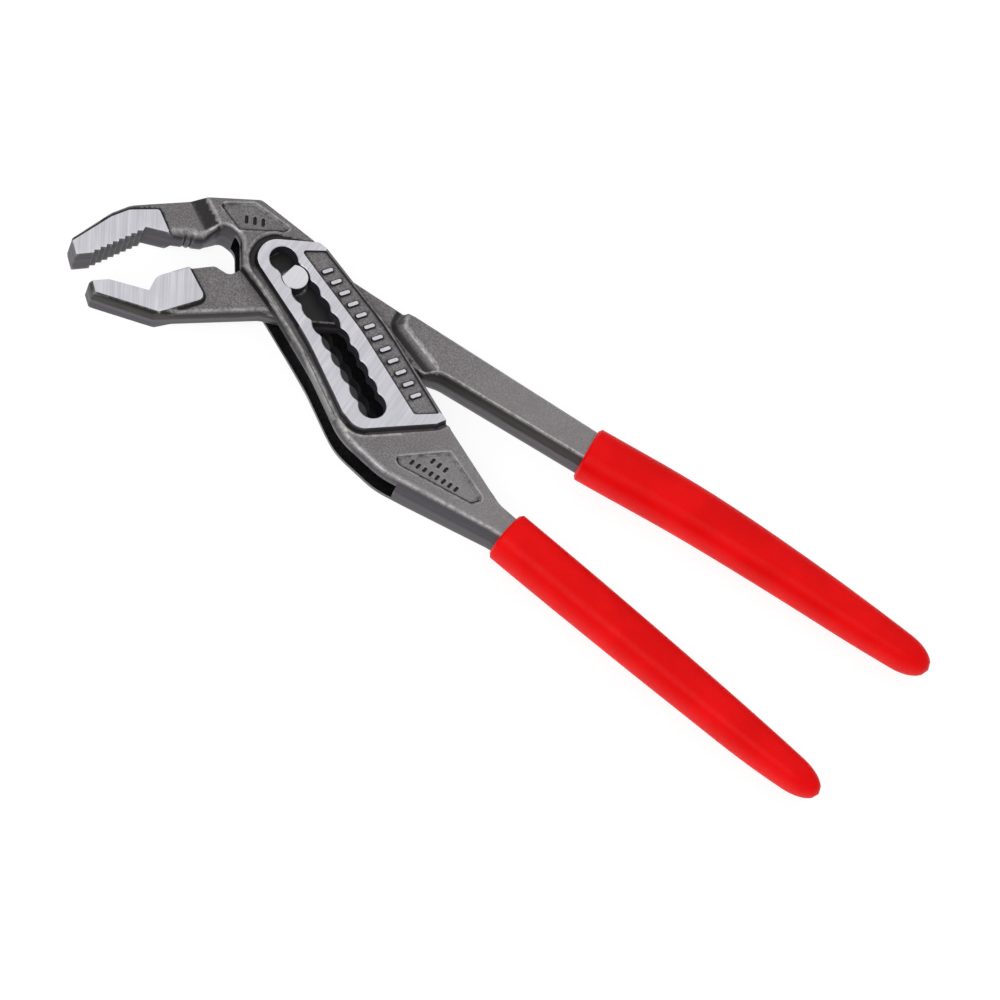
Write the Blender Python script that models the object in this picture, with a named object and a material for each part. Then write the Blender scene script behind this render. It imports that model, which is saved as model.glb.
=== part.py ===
"""Tongue and groove pliers, 250 mm long, built as five separate solids.

The origin is on the pin's axis, in the plane of the rear ground faces. +X runs
towards the handles, +Y towards the back of the upper jaw and +Z out of the
front face. Lengths below are in millimetres and are scaled to metres by MM.
"""

import math

import bmesh
import bpy
from mathutils import Matrix, Vector

MM = 0.001

# Thickness, measured along Z about the middle plane.
TOTAL_THICK = 14.0
FORGED_THICK = 12.0
JAW_THICK = 8.0
PAD_THICK = 9.0
TONGUE_THICK = 6.2
HANDLE_THICK = 10.2
HANDLE_TAPER = 0.9
CAVITY_THICK = 6.6
PANEL_DEPTH = 0.6
MID = TOTAL_THICK / 2

# The groove: scallops on a shallow arc, beside the straight line the pin slides on.
SLIDE_ANGLE = math.radians(-34.5)
STATION_PITCH = 5.12
STATIONS = 9
TOP_STATION = -5.8
SCALLOP_R = 3.8
NECK_HALF = 3.1
GROOVE_LEAN = 0.0525
GROOVE_CURVE_R = 308.0

# The pin is round inside the tongue and flattened inside the cheeks.
PIN_R = 3.3
PIN_SIDE_LOW = 2.55
PIN_SIDE_HIGH = 2.4
PIN_END_FLAT = 2.1
PIN_FLUSH = 0.0
PIN_BORE_R = 3.38

# Grips: half width at the mouth and wall gap to the handle core.
GRIP_HALF_THICK = 6.95
GRIP_GAP = 0.3
UPPER_GRIP_R = 7.1
LOWER_GRIP_R = 6.6
GRIP_SQUARENESS = 3.0
GRIP_SIDES = 36

# Outline corners are (x, y, fillet radius).
BACK_EDGE = [
    (-53.6, -21.0, 0.8),
    (-55.8, -19.2, 0.8),
    (-50.3, -7.0, 8.0),
    (-46.8, -2.2, 6.0),
    (-30.0, 9.8, 4.0),
    (-17.6, 16.5, 2.5),
    (3.6, 12.0, 3.0),
    (27.0, -0.1, 60.0),
    (52.0, -16.9, 60.0),
    (75.0, -30.6, 10.0),
    (84.4, -33.0, 1.3),
]
BELLY_EDGE = [
    (83.4, -40.3, 1.3),
    (77.0, -39.6, 20.0),
    (44.0, -39.7, 22.0),
    (30.0, -35.4, 20.0),
    (16.0, -23.3, 60.0),
    (-4.0, -9.4, 60.0),
    (-13.9, -4.0, 1.5),
    (-17.6, 3.6, 4.0),
    (-22.6, 5.0, 2.2),
    (-25.6, -1.0, 1.6),
    (-33.0, -4.0, 8.0),
    (-42.6, -6.4, 1.0),
    (-51.4, -18.8, 1.0),
]
TEETH_START = (-40.7, -7.5)
TEETH_END = (-49.2, -19.5)
TEETH_COUNT = 7
TOOTH_DEPTH = 0.75

UPPER_PAD = [
    (-53.0, -22.4, 0.3),
    (-55.8, -19.4, 0.6),
    (-50.3, -7.0, 6.0),
    (-45.6, -2.9, 3.0),
    (-39.6, 0.5, 1.0),
    (-34.4, -4.3, 0.3),
    (-40.9, -6.0, 0.2),
]

BOSS = [
    (-12.6, 3.0, 5.2),
    (-9.0, 9.3, 5.0),
    (1.6, 13.4, 0.4),
    (5.4, 11.4, 0.4),
    (27.0, 0.1, 60.0),
    (52.4, -17.3, 0.5),
    (50.5, -19.5, 1.0),
    (33.0, -31.8, 4.6),
    (27.6, -29.2, 5.5),
    (10.0, -14.3, 60.0),
    (-9.0, -3.2, 6.0),
]
STRIP = [
    (-1.4, 7.9, 0.8),
    (4.0, 11.0, 0.4),
    (27.0, -1.2, 60.0),
    (49.2, -16.2, 0.4),
    (44.0, -19.6, 1.0),
    (22.0, -5.4, 60.0),
]
UPPER_PANEL = [
    (-25.6, 9.8, 1.0),
    (-17.6, 14.8, 1.0),
    (-7.2, 12.8, 1.0),
    (-8.0, 11.2, 1.0),
    (-18.9, 5.2, 1.2),
]
LOWER_PANEL = [
    (44.4, -34.0, 1.2),
    (56.4, -24.7, 1.0),
    (70.0, -32.6, 1.2),
    (67.4, -35.4, 1.0),
    (46.0, -35.4, 1.2),
]

# The ramp between jaw and box, measured across it from the pin.
RAMP_ANGLE = math.radians(51.3)
RAMP_FOOT = -14.8
RAMP_HEAD = -11.3

# The cavity between the cheeks, open along both long edges of the box.
CAVITY = [
    (-20.0, 3.0, 0.0),
    (-14.6, 10.5, 4.0),
    (-10.0, 19.0, 0.0),
    (10.0, 19.0, 0.0),
    (62.6, -12.0, 0.0),
    (62.6, -28.2, 2.0),
    (50.5, -28.2, 4.0),
    (48.6, -46.0, 0.0),
    (24.0, -46.0, 0.0),
    (-22.0, -12.0, 0.0),
]

# The tongue arm: thin lower jaw, hub and neck, with thicker pads and handle.
TONGUE = [
    (-45.2, -28.0, 0.5),
    (-42.2, -25.4, 1.0),
    (-31.8, -23.0, 0.5),
    (-31.8, -17.6, 3.0),
    (-25.8, -11.4, 1.0),
    (-20.1, -6.0, 2.0),
    (-15.6, -6.4, 2.0),
    (-10.4, 1.6, 5.0),
    (-6.0, 8.6, 5.0),
    (2.0, 10.4, 4.0),
    (31.0, 6.3, 0.5),
    (36.0, 3.0, 0.5),
    (28.6, 0.8, 1.0),
    (18.0, -3.4, 8.0),
    (6.0, -9.4, 6.0),
    (-2.2, -11.0, 3.0),
    (-8.0, -13.8, 20.0),
    (-27.6, -26.3, 1.0),
    (-43.8, -28.8, 0.5),
]
LOWER_PAD = [
    (-46.0, -27.5, 0.3),
    (-42.3, -24.6, 1.0),
    (-32.4, -22.2, 0.3),
    (-32.4, -17.4, 3.0),
    (-26.0, -10.7, 0.5),
    (-18.9, -17.0, 1.8),
    (-28.2, -27.0, 0.5),
    (-44.4, -29.4, 0.5),
]
HANDLE = [
    (30.6, 7.3, 1.6),
    (93.6, 1.6, 1.3),
    (93.2, -7.8, 1.3),
    (43.0, -4.0, 6.0),
    (28.4, 3.6, 1.6),
]

# Thin tangs that run down inside the grips.
TANG_THICK = 7.0
UPPER_TANG = [
    (86.0, 0.6, 0.0),
    (120.0, -0.6, 60.0),
    (168.6, -6.6, 1.8),
    (168.0, -11.8, 1.8),
    (120.0, -7.4, 60.0),
    (86.0, -6.2, 0.0),
]
LOWER_TANG = [
    (78.0, -32.6, 0.0),
    (160.0, -52.6, 1.8),
    (158.8, -57.8, 1.8),
    (78.0, -38.6, 0.0),
]
UPPER_MOUTH = [
    (84.0, 2.5, 0.0),
    (93.6, 1.6, 0.5),
    (93.2, -7.8, 0.5),
    (84.0, -7.1, 0.0),
]
LOWER_MOUTH = [
    (75.0, -30.6, 0.0),
    (84.4, -33.0, 0.5),
    (83.4, -40.3, 0.5),
    (75.0, -39.4, 0.0),
]

# Grip centre lines: (x, y, radius as a share of the mouth radius).
UPPER_GRIP_LINE = [
    (88.6, -2.7, 0.97),
    (91.0, -2.8, 1.0),
    (120.0, -4.0, 0.97),
    (150.0, -7.0, 0.87),
    (175.0, -10.3, 0.74),
    (186.0, -11.7, 0.6),
    (190.4, -12.3, 0.42),
    (192.6, -12.6, 0.27),
    (193.8, -12.8, 0.1),
]
LOWER_GRIP_LINE = [
    (79.6, -35.5, 0.97),
    (82.0, -36.1, 1.0),
    (110.0, -43.0, 0.97),
    (140.0, -50.4, 0.88),
    (164.0, -56.3, 0.76),
    (174.6, -58.9, 0.62),
    (178.9, -60.0, 0.44),
    (181.0, -60.5, 0.28),
    (182.2, -60.8, 0.1),
]


def clear_scene():
    """Remove every object the file starts with."""
    for obj in list(bpy.data.objects):
        bpy.data.objects.remove(obj, do_unlink=True)


def collection(name):
    """A collection linked to the scene."""
    found = bpy.data.collections.new(name)
    bpy.context.scene.collection.children.link(found)
    return found


def material(name, colour, roughness, metallic):
    """A Principled material with one colour."""
    made = bpy.data.materials.new(name)
    made.use_nodes = True
    shader = made.node_tree.nodes["Principled BSDF"]
    shader.inputs["Base Color"].default_value = (*colour, 1.0)
    shader.inputs["Roughness"].default_value = roughness
    shader.inputs["Metallic"].default_value = metallic
    return made


def filleted(corners, steps=5):
    """Outline points with each (x, y, radius) corner replaced by an arc."""
    points = []
    count = len(corners)
    for i in range(count):
        x, y, radius = corners[i]
        px, py, _ = corners[i - 1]
        nx, ny, _ = corners[(i + 1) % count]
        ax, ay = px - x, py - y
        bx, by = nx - x, ny - y
        la, lb = math.hypot(ax, ay), math.hypot(bx, by)
        ax, ay, bx, by = ax / la, ay / la, bx / lb, by / lb
        cosine = max(-1.0, min(1.0, ax * bx + ay * by))
        half = math.acos(cosine) / 2
        if radius <= 0 or half > math.radians(89.5):
            points.append((x, y))
            continue
        reach = min(radius / math.tan(half), 0.46 * la, 0.46 * lb)
        radius = reach * math.tan(half)
        start = (x + ax * reach, y + ay * reach)
        end = (x + bx * reach, y + by * reach)
        mx, my = ax + bx, ay + by
        size = math.hypot(mx, my)
        away = radius / math.sin(half)
        cx, cy = x + mx / size * away, y + my / size * away
        a0 = math.atan2(start[1] - cy, start[0] - cx)
        a1 = math.atan2(end[1] - cy, end[0] - cx)
        turn = (a1 - a0 + math.pi) % (2 * math.pi) - math.pi
        for k in range(steps + 1):
            angle = a0 + turn * k / steps
            points.append((cx + radius * math.cos(angle), cy + radius * math.sin(angle)))
    return points


def tooth_points(start, end, count, depth):
    """Saw teeth along a line, their tips on the line and their roots behind it."""
    dx, dy = end[0] - start[0], end[1] - start[1]
    length = math.hypot(dx, dy)
    ux, uy = dx / length, dy / length
    points = []
    for i in range(count):
        tip = length * i / (count - 1)
        points.append((start[0] + ux * tip, start[1] + uy * tip))
        if i < count - 1:
            root = tip + 0.72 * length / (count - 1)
            rx, ry = start[0] + ux * root, start[1] + uy * root
            points.append((rx + uy * depth, ry - ux * depth))
    return points


def to_mesh(curve_obj, home):
    """Turn a curve object into a mesh object in its place."""
    graph = bpy.context.evaluated_depsgraph_get()
    data = bpy.data.meshes.new_from_object(curve_obj.evaluated_get(graph))
    made = bpy.data.objects.new(curve_obj.name + "_solid", data)
    made.matrix_world = curve_obj.matrix_world.copy()
    home.objects.link(made)
    name = curve_obj.name
    bpy.data.objects.remove(curve_obj, do_unlink=True)
    made.name = name
    weld = made.modifiers.new("Weld", "WELD")
    weld.merge_threshold = 0.000002
    return made


def plate(name, points, thick, home, middle=MID, rim=0.0):
    """A flat piece of the given outline, with its rims rounded by rim."""
    curve = bpy.data.curves.new(name, "CURVE")
    curve.dimensions = "2D"
    curve.fill_mode = "BOTH"
    curve.extrude = (thick / 2 - rim) * MM
    curve.bevel_depth = rim * MM
    curve.bevel_resolution = 1
    curve.offset = -rim * MM
    spline = curve.splines.new("POLY")
    spline.points.add(len(points) - 1)
    for target, (x, y) in zip(spline.points, points):
        target.co = (x * MM, y * MM, 0.0, 1.0)
    spline.use_cyclic_u = True
    obj = bpy.data.objects.new(name, curve)
    obj.location.z = middle * MM
    home.objects.link(obj)
    bpy.context.view_layer.update()
    return to_mesh(obj, home)


def prism(name, profile, start, end, angle, home):
    """A profile of (distance, height) drawn out sideways.

    Distance runs along angle in the XY plane, height along Z, and the prism
    reaches from start to end across them, to the right of angle.
    """
    obj = plate(name, profile, end - start, home, middle=(start + end) / 2)
    across = Vector((math.cos(angle), math.sin(angle), 0.0))
    up = Vector((0.0, 0.0, 1.0))
    side = across.cross(up)
    turn = Matrix((across, up, side)).transposed().to_4x4()
    obj.data.transform(turn @ obj.matrix_world)
    obj.matrix_world = Matrix.Identity(4)
    return obj


def sleeve(name, line, radius, home):
    """A tapering rounded bar along a line of (x, y, share of the mouth's size)."""
    shape = bmesh.new()
    power = 2 / GRIP_SQUARENESS
    rings = []
    for i, (x, y, share) in enumerate(line):
        before, after = line[max(i - 1, 0)], line[min(i + 1, len(line) - 1)]
        heading = math.atan2(after[1] - before[1], after[0] - before[0])
        ring = []
        for k in range(GRIP_SIDES):
            angle = 2 * math.pi * (k + 0.5) / GRIP_SIDES
            wide = math.copysign(abs(math.cos(angle)) ** power, math.cos(angle))
            tall = math.copysign(abs(math.sin(angle)) ** power, math.sin(angle))
            wide *= radius * share
            px = x - math.sin(heading) * wide
            py = y + math.cos(heading) * wide
            pz = MID + tall * GRIP_HALF_THICK * share
            ring.append(shape.verts.new((px * MM, py * MM, pz * MM)))
        rings.append(ring)
    for one, two in zip(rings, rings[1:]):
        for k in range(GRIP_SIDES):
            n = (k + 1) % GRIP_SIDES
            shape.faces.new((one[k], one[n], two[n], two[k]))
    shape.faces.new(rings[0][::-1])
    shape.faces.new(rings[-1])
    bmesh.ops.recalc_face_normals(shape, faces=shape.faces)
    data = bpy.data.meshes.new(name)
    shape.to_mesh(data)
    shape.free()
    obj = bpy.data.objects.new(name, data)
    home.objects.link(obj)
    return obj


def disc(name, radius, bottom, top, home, x=0.0, y=0.0):
    """A round plate about a vertical axis."""
    sides = 72
    points = []
    for i in range(sides):
        angle = 2 * math.pi * i / sides
        points.append((x + radius * math.cos(angle), y + radius * math.sin(angle)))
    return plate(name, points, top - bottom, home, middle=(top + bottom) / 2)


def join_or_cut(target, tool, operation):
    """Add an exact Boolean and hide the tool."""
    made = target.modifiers.new(operation.title() + " " + tool.name, "BOOLEAN")
    made.operation = operation
    made.object = tool
    made.solver = "EXACT"
    tool.hide_render = True
    tool.display_type = "WIRE"


def station_offset(s):
    """How far the groove's centre lies from the slide line at s along it."""
    return GROOVE_LEAN * s - s * s / (2 * GROOVE_CURVE_R)


def along_slide(s, across):
    """A point s along the slide line and across to its upper right."""
    ux, uy = math.cos(SLIDE_ANGLE), math.sin(SLIDE_ANGLE)
    return (ux * s - uy * across, uy * s + ux * across)


def station_places():
    """Where the scallops are, along the slide line."""
    return [TOP_STATION] + [STATION_PITCH * i for i in range(STATIONS)]


def groove_outline(steps=10):
    """The scalloped groove as one closed outline."""
    places = station_places()
    first, last = places[0], places[-1]
    stops = []
    for a, b in zip(places, places[1:]):
        stops += [a + (b - a) * k / steps for k in range(steps)]
    stops.append(last)
    high, low = [], []
    for s in stops:
        half = NECK_HALF
        for place in places:
            if abs(s - place) < SCALLOP_R:
                half = max(half, math.sqrt(SCALLOP_R**2 - (s - place) ** 2))
        centre = station_offset(s)
        high.append(along_slide(s, centre + half))
        low.append(along_slide(s, centre - half))
    caps = []
    for place, side in ((last, 1), (first, -1)):
        arc = []
        for k in range(1, 12):
            angle = math.pi / 2 - math.pi * k / 12
            s = place + side * SCALLOP_R * math.cos(angle)
            across = station_offset(place) + side * SCALLOP_R * math.sin(angle)
            arc.append(along_slide(s, across))
        caps.append(arc)
    return high + caps[0] + low[::-1] + caps[1]


def both_sides(name, corners, depth, home):
    """Cutters for one panel, sunk in the front and in the rear face."""
    made = []
    outline = filleted(corners, 3)
    for side, label in ((1, "front"), (-1, "rear")):
        middle = MID + side * (FORGED_THICK / 2 - depth + 2.0)
        made.append(plate(name + "_" + label, outline, 4.0, home, middle=middle))
    return made


def build_slotted_arm(parts, tools):
    """Upper jaw, box with its groove, and the lower handle's core."""
    teeth = tooth_points(TEETH_START, TEETH_END, TEETH_COUNT, TOOTH_DEPTH)
    smooth = filleted(BACK_EDGE + BELLY_EDGE, 5)
    arm = plate("slotted_arm", smooth, FORGED_THICK, parts, rim=0.7)
    tang = plate("lower_tang", filleted(LOWER_TANG, 4), TANG_THICK, tools, rim=1.0)
    join_or_cut(arm, tang, "UNION")

    # The jaw is thinner than the box, and a ramp on each face leads down to it.
    # The handle thins towards its grip.
    half = FORGED_THICK / 2
    jaw = JAW_THICK / 2
    ramp = [(-80.0, jaw), (RAMP_FOOT, jaw), (RAMP_HEAD, half + 0.2), (RAMP_HEAD, 20.0), (-80.0, 20.0)]
    taper = [(50.0, half + 0.1), (96.0, half - 1.5 * HANDLE_TAPER), (96.0, 20.0), (50.0, 20.0)]
    cuts = (("jaw", ramp, -80.0, -17.0, RAMP_ANGLE), ("handle", taper, 12.0, 60.0, 0.0))
    for label, profile, start, end, angle in cuts:
        front = [(d, MID + h) for d, h in profile]
        rear = [(d, MID - h) for d, h in profile[::-1]]
        for face, side in ((front, "front"), (rear, "rear")):
            name = label + "_relief_" + side
            join_or_cut(arm, prism(name, face, start, end, angle, tools), "DIFFERENCE")

    pad_teeth = filleted(UPPER_PAD, 3) + teeth
    pad = plate("upper_pad", pad_teeth, PAD_THICK, tools)
    join_or_cut(arm, pad, "UNION")
    boss = plate("box_boss", filleted(BOSS, 5), TOTAL_THICK, tools, rim=0.25)
    join_or_cut(arm, boss, "UNION")

    strip_top = TOTAL_THICK - PANEL_DEPTH
    for middle, label in ((strip_top + 2.0, "front"), (PANEL_DEPTH - 2.0, "rear")):
        strip = plate("strip_" + label, filleted(STRIP, 3), 4.0, tools, middle=middle)
        join_or_cut(arm, strip, "DIFFERENCE")
    panels = both_sides("upper_panel", UPPER_PANEL, PANEL_DEPTH, tools)
    panels += both_sides("lower_panel", LOWER_PANEL, PANEL_DEPTH, tools)
    for panel in panels:
        join_or_cut(arm, panel, "DIFFERENCE")

    cavity = plate("cavity", filleted(CAVITY, 5), CAVITY_THICK, tools)
    join_or_cut(arm, cavity, "DIFFERENCE")
    groove = plate("groove", groove_outline(), TOTAL_THICK + 8.0, tools)
    join_or_cut(arm, groove, "DIFFERENCE")
    return arm


def build_tongue_arm(parts, tools):
    """Lower jaw, the tongue between the cheeks, and the upper handle's core."""
    arm = plate("tongue_arm", filleted(TONGUE, 5), TONGUE_THICK, parts, rim=0.4)
    pad = plate("lower_pad", filleted(LOWER_PAD, 5), PAD_THICK, tools)
    join_or_cut(arm, pad, "UNION")
    handle = plate("handle_core", filleted(HANDLE, 5), HANDLE_THICK, tools, rim=1.0)
    join_or_cut(arm, handle, "UNION")
    tang = plate("upper_tang", filleted(UPPER_TANG, 4), TANG_THICK, tools, rim=1.0)
    join_or_cut(arm, tang, "UNION")
    bore = disc("pin_bore", PIN_BORE_R, 0.0, TOTAL_THICK, tools)
    join_or_cut(arm, bore, "DIFFERENCE")
    return arm


def build_pin(parts, tools):
    """The joint pin, round in the tongue and flattened in the cheeks."""
    pin = disc("joint_pin", PIN_R, PIN_FLUSH, TOTAL_THICK - PIN_FLUSH, parts)
    low = MID - CAVITY_THICK / 2
    high = MID + CAVITY_THICK / 2
    for bottom, top, label in ((-5.0, low, "rear"), (high, TOTAL_THICK + 5.0, "front")):
        flats = (
            ("high", (-10.0, PIN_SIDE_HIGH), (10.0, PIN_SIDE_HIGH + 6.0)),
            ("low", (-10.0, -PIN_SIDE_LOW - 6.0), (10.0, -PIN_SIDE_LOW)),
            ("end", (-PIN_END_FLAT - 6.0, -10.0), (-PIN_END_FLAT, 10.0)),
        )
        for flat, (s0, a0), (s1, a1) in flats:
            corners = [(s0, a0), (s1, a0), (s1, a1), (s0, a1)]
            outline = [along_slide(s, across) for s, across in corners]
            name = "pin_flat_" + flat + "_" + label
            middle = (bottom + top) / 2
            block = plate(name, outline, top - bottom, tools, middle=middle)
            join_or_cut(pin, block, "DIFFERENCE")
    return pin


def build_grip(name, line, radius, mouth, mouth_thick, tang, parts, tools):
    """A dipped sleeve, open at its mouth and closed at its end."""
    grip = sleeve(name, line, radius, parts)
    hollows = (("mouth", mouth, mouth_thick), ("hollow", tang, TANG_THICK))
    for label, corners, thick in hollows:
        outline = filleted(grown(corners, GRIP_GAP), 4)
        tool = plate(name + "_" + label, outline, thick + 2 * GRIP_GAP, tools)
        join_or_cut(grip, tool, "DIFFERENCE")
    return grip


def grown(corners, by):
    """A convex outline of (x, y, radius) moved outwards by a distance."""
    made = []
    count = len(corners)
    for i in range(count):
        x, y, radius = corners[i]
        px, py, _ = corners[i - 1]
        nx, ny, _ = corners[(i + 1) % count]
        la, lb = math.hypot(x - px, y - py), math.hypot(nx - x, ny - y)
        ax, ay = -(y - py) / la, (x - px) / la
        bx, by_ = -(ny - y) / lb, (nx - x) / lb
        scale = by / (1 + ax * bx + ay * by_)
        made.append((x + (ax + bx) * scale, y + (ay + by_) * scale, radius))
    return made


clear_scene()
parts = collection("tongue_and_groove_pliers")
tools = collection("cutters")
tools.hide_render = True

steel = material("forged_steel", (0.17, 0.16, 0.16), 0.42, 1.0)
pin_steel = material("pin_steel", (0.6, 0.6, 0.62), 0.3, 1.0)
red = material("red_pvc", (0.75, 0.01, 0.01), 0.35, 0.0)

slotted_arm = build_slotted_arm(parts, tools)
tongue_arm = build_tongue_arm(parts, tools)
joint_pin = build_pin(parts, tools)

slotted_grip = build_grip(
    "slotted_arm_grip", LOWER_GRIP_LINE, LOWER_GRIP_R, LOWER_MOUTH,
    FORGED_THICK - 2 * HANDLE_TAPER,
    LOWER_TANG, parts, tools,
)
tongue_grip = build_grip(
    "tongue_arm_grip", UPPER_GRIP_LINE, UPPER_GRIP_R, UPPER_MOUTH, HANDLE_THICK,
    UPPER_TANG, parts, tools,
)

for made in (slotted_arm, tongue_arm):
    made.data.materials.append(steel)
joint_pin.data.materials.append(pin_steel)
for made in (slotted_grip, tongue_grip):
    made.data.materials.append(red)
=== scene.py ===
"""Tongue and groove pliers on a pale floor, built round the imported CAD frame.

Every length below is in millimetres in the row frame unless it says otherwise:
+X runs from the jaws to the handles, +Y to the back of the upper jaw and +Z out
of the front face. The rear face mirrors the front one about the middle plane.
"""

import math

import bmesh
import bpy
import numpy as np
from mathutils import Matrix, Vector
from mathutils.geometry import delaunay_2d_cdt


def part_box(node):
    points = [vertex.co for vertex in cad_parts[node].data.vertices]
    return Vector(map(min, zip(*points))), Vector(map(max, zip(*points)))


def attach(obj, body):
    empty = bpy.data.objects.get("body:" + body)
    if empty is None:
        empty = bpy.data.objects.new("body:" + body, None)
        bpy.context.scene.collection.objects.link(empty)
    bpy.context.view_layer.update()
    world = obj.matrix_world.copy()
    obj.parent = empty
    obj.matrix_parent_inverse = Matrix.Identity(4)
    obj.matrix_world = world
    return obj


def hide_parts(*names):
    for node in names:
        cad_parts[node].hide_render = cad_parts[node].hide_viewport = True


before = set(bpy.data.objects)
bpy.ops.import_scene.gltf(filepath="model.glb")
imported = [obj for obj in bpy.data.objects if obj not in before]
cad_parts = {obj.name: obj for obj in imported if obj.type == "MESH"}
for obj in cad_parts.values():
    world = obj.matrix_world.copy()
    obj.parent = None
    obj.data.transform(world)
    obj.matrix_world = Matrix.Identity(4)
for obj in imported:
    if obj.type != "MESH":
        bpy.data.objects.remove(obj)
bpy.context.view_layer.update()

MM = 0.001
PIN_LOW, PIN_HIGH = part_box("joint_pin")
MID = (PIN_LOW.z + PIN_HIGH.z) / 2 / MM
TOTAL_HALF = (PIN_HIGH.z - PIN_LOW.z) / 2 / MM

FORGED_HALF = 6.0
JAW_HALF = 4.0
PAD_HALF = 4.5
TONGUE_HALF = 3.1
CAVITY_HALF = 3.3
HANDLE_HALF = 5.1
TANG_HALF = 3.5

SLIDE_TURN = -34.5
SLIDE = np.array([math.cos(math.radians(SLIDE_TURN)), math.sin(math.radians(SLIDE_TURN))])
ACROSS = np.array([-SLIDE[1], SLIDE[0]])
STATION_PITCH = 5.12
STATIONS = 9
TOP_STATION = -5.8
SCALLOP_R = 3.8
NECK_HALF = 3.1
GROOVE_LEAN = 0.0525
GROOVE_CURVE_R = 332.0

RAMP_DIR = np.array([math.cos(math.radians(51.3)), math.sin(math.radians(51.3))])
RAMP_FOOT = -15.8
RAMP_RISE = 2.0 / 4.2

STEP = 0.42
BAR_COUNT = 12

# Outline corners are (x, y, fillet radius, edge radius, draft).
SLOTTED_RIM = [
    (-52.7, -23.0, 0.3, 0.05, 0.0),
    (-55.8, -19.3, 0.7, 0.05, 0.0),
    (-50.3, -7.0, 8.0, 0.25, 0.0),
    (-46.8, -2.2, 6.0, 0.25, 0.0),
    (-30.0, 9.8, 4.0, 0.3, 0.0),
    (-17.6, 16.48, 2.5, 0.3, 0.0),
    (3.6, 12.0, 3.0, 0.3, 0.0),
    (27.0, -0.1, 60.0, 0.3, 0.0),
    (52.0, -16.9, 60.0, 0.3, 0.0),
    (75.0, -30.6, 10.0, 0.8, 0.35),
    (84.4, -33.0, 0.8, 0.8, 0.3),
    (84.1, -34.4, 0.5, 0.8, 0.0),
    (160.0, -52.6, 1.8, 1.0, 0.0),
    (158.8, -57.8, 1.8, 1.0, 0.0),
    (83.7, -39.9, 0.4, 0.8, 0.0),
    (83.4, -40.3, 0.5, 1.2, 0.3),
    (77.0, -39.6, 20.0, 1.3, 0.45),
    (44.0, -39.7, 22.0, 1.7, 0.35),
    (30.0, -35.4, 20.0, 1.9, 0.3),
    (16.0, -23.3, 60.0, 1.9, 0.3),
    (-4.0, -9.4, 60.0, 1.9, 0.3),
    (-13.9, -4.0, 1.5, 1.7, 0.2),
    (-17.6, 3.6, 4.0, 1.4, 0.2),
    (-22.6, 5.0, 2.2, 1.1, 0.2),
    (-25.6, -1.0, 1.6, 2.4, 0.15),
    (-28.3, -2.1, 0.0, 2.6, 0.0),
    (-28.8, -1.9, 0.0, 2.6, 0.0),
    (-29.0, -2.4, 0.0, 2.6, 0.0),
    (-29.8, -2.7, 0.0, 2.6, 0.0),
    (-30.3, -2.5, 0.0, 2.6, 0.0),
    (-30.5, -3.0, 0.0, 2.6, 0.0),
    (-34.0, -4.3, 0.0, 2.2, 0.0),
    (-34.8, -4.5, 0.0, 0.05, 0.0),
    (-40.7, -6.2, 0.2, 0.05, 0.0),
]
TEETH_START = (-40.7, -7.5)
TEETH_END = (-48.9, -20.1)
TEETH_COUNT = 9
TOOTH_DEPTH = 0.65

UPPER_PAD = [
    (-50.0, -27.0, 0.0),
    (-58.0, -21.6, 0.0),
    (-55.2, -19.8, 0.3),
    (-49.7, -8.2, 6.0),
    (-46.5, -3.9, 4.0),
    (-39.8, 0.35, 1.0),
    (-33.0, -5.75, 0.0),
    (-38.0, -14.0, 0.0),
    (-46.0, -26.0, 0.0),
]
BOSS = [
    (-11.84, -0.64, 6.6),
    (-11.38, 6.2, 6.0),
    (3.2, 13.5, 0.4),
    (6.4, 12.4, 0.4),
    (28.0, 1.1, 60.0),
    (53.0, -16.0, 0.5),
    (50.5, -19.5, 1.0),
    (33.0, -31.8, 4.6),
    (27.6, -29.2, 5.5),
    (10.0, -14.3, 60.0),
]
STRIP = [
    (-2.1, 7.8, 0.8),
    (3.7, 11.2, 0.4),
    (27.2, -0.85, 60.0),
    (50.0, -16.5, 0.4),
    (44.3, -20.2, 1.0),
    (22.0, -5.4, 60.0),
]
UPPER_PANEL = [
    (-27.0, 9.65, 1.0),
    (-18.7, 14.6, 1.0),
    (-7.2, 12.8, 1.0),
    (-8.0, 11.2, 1.0),
    (-18.9, 5.2, 1.2),
]
LOWER_PANEL = [
    (45.1, -33.2, 1.6),
    (57.1, -24.3, 1.0),
    (70.7, -32.2, 1.2),
    (68.1, -35.0, 1.0),
    (46.7, -35.0, 1.2),
]
CAVITY = [
    (-20.0, 3.0, 0.0),
    (-14.6, 10.5, 4.0),
    (-10.0, 19.0, 0.0),
    (10.0, 19.0, 0.0),
    (76.0, -22.0, 0.0),
    (73.0, -29.4, 1.0),
    (64.0, -28.2, 2.0),
    (50.5, -28.2, 4.0),
    (47.9, -46.0, 0.0),
    (24.0, -46.0, 0.0),
    (-22.0, -12.0, 0.0),
]

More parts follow.
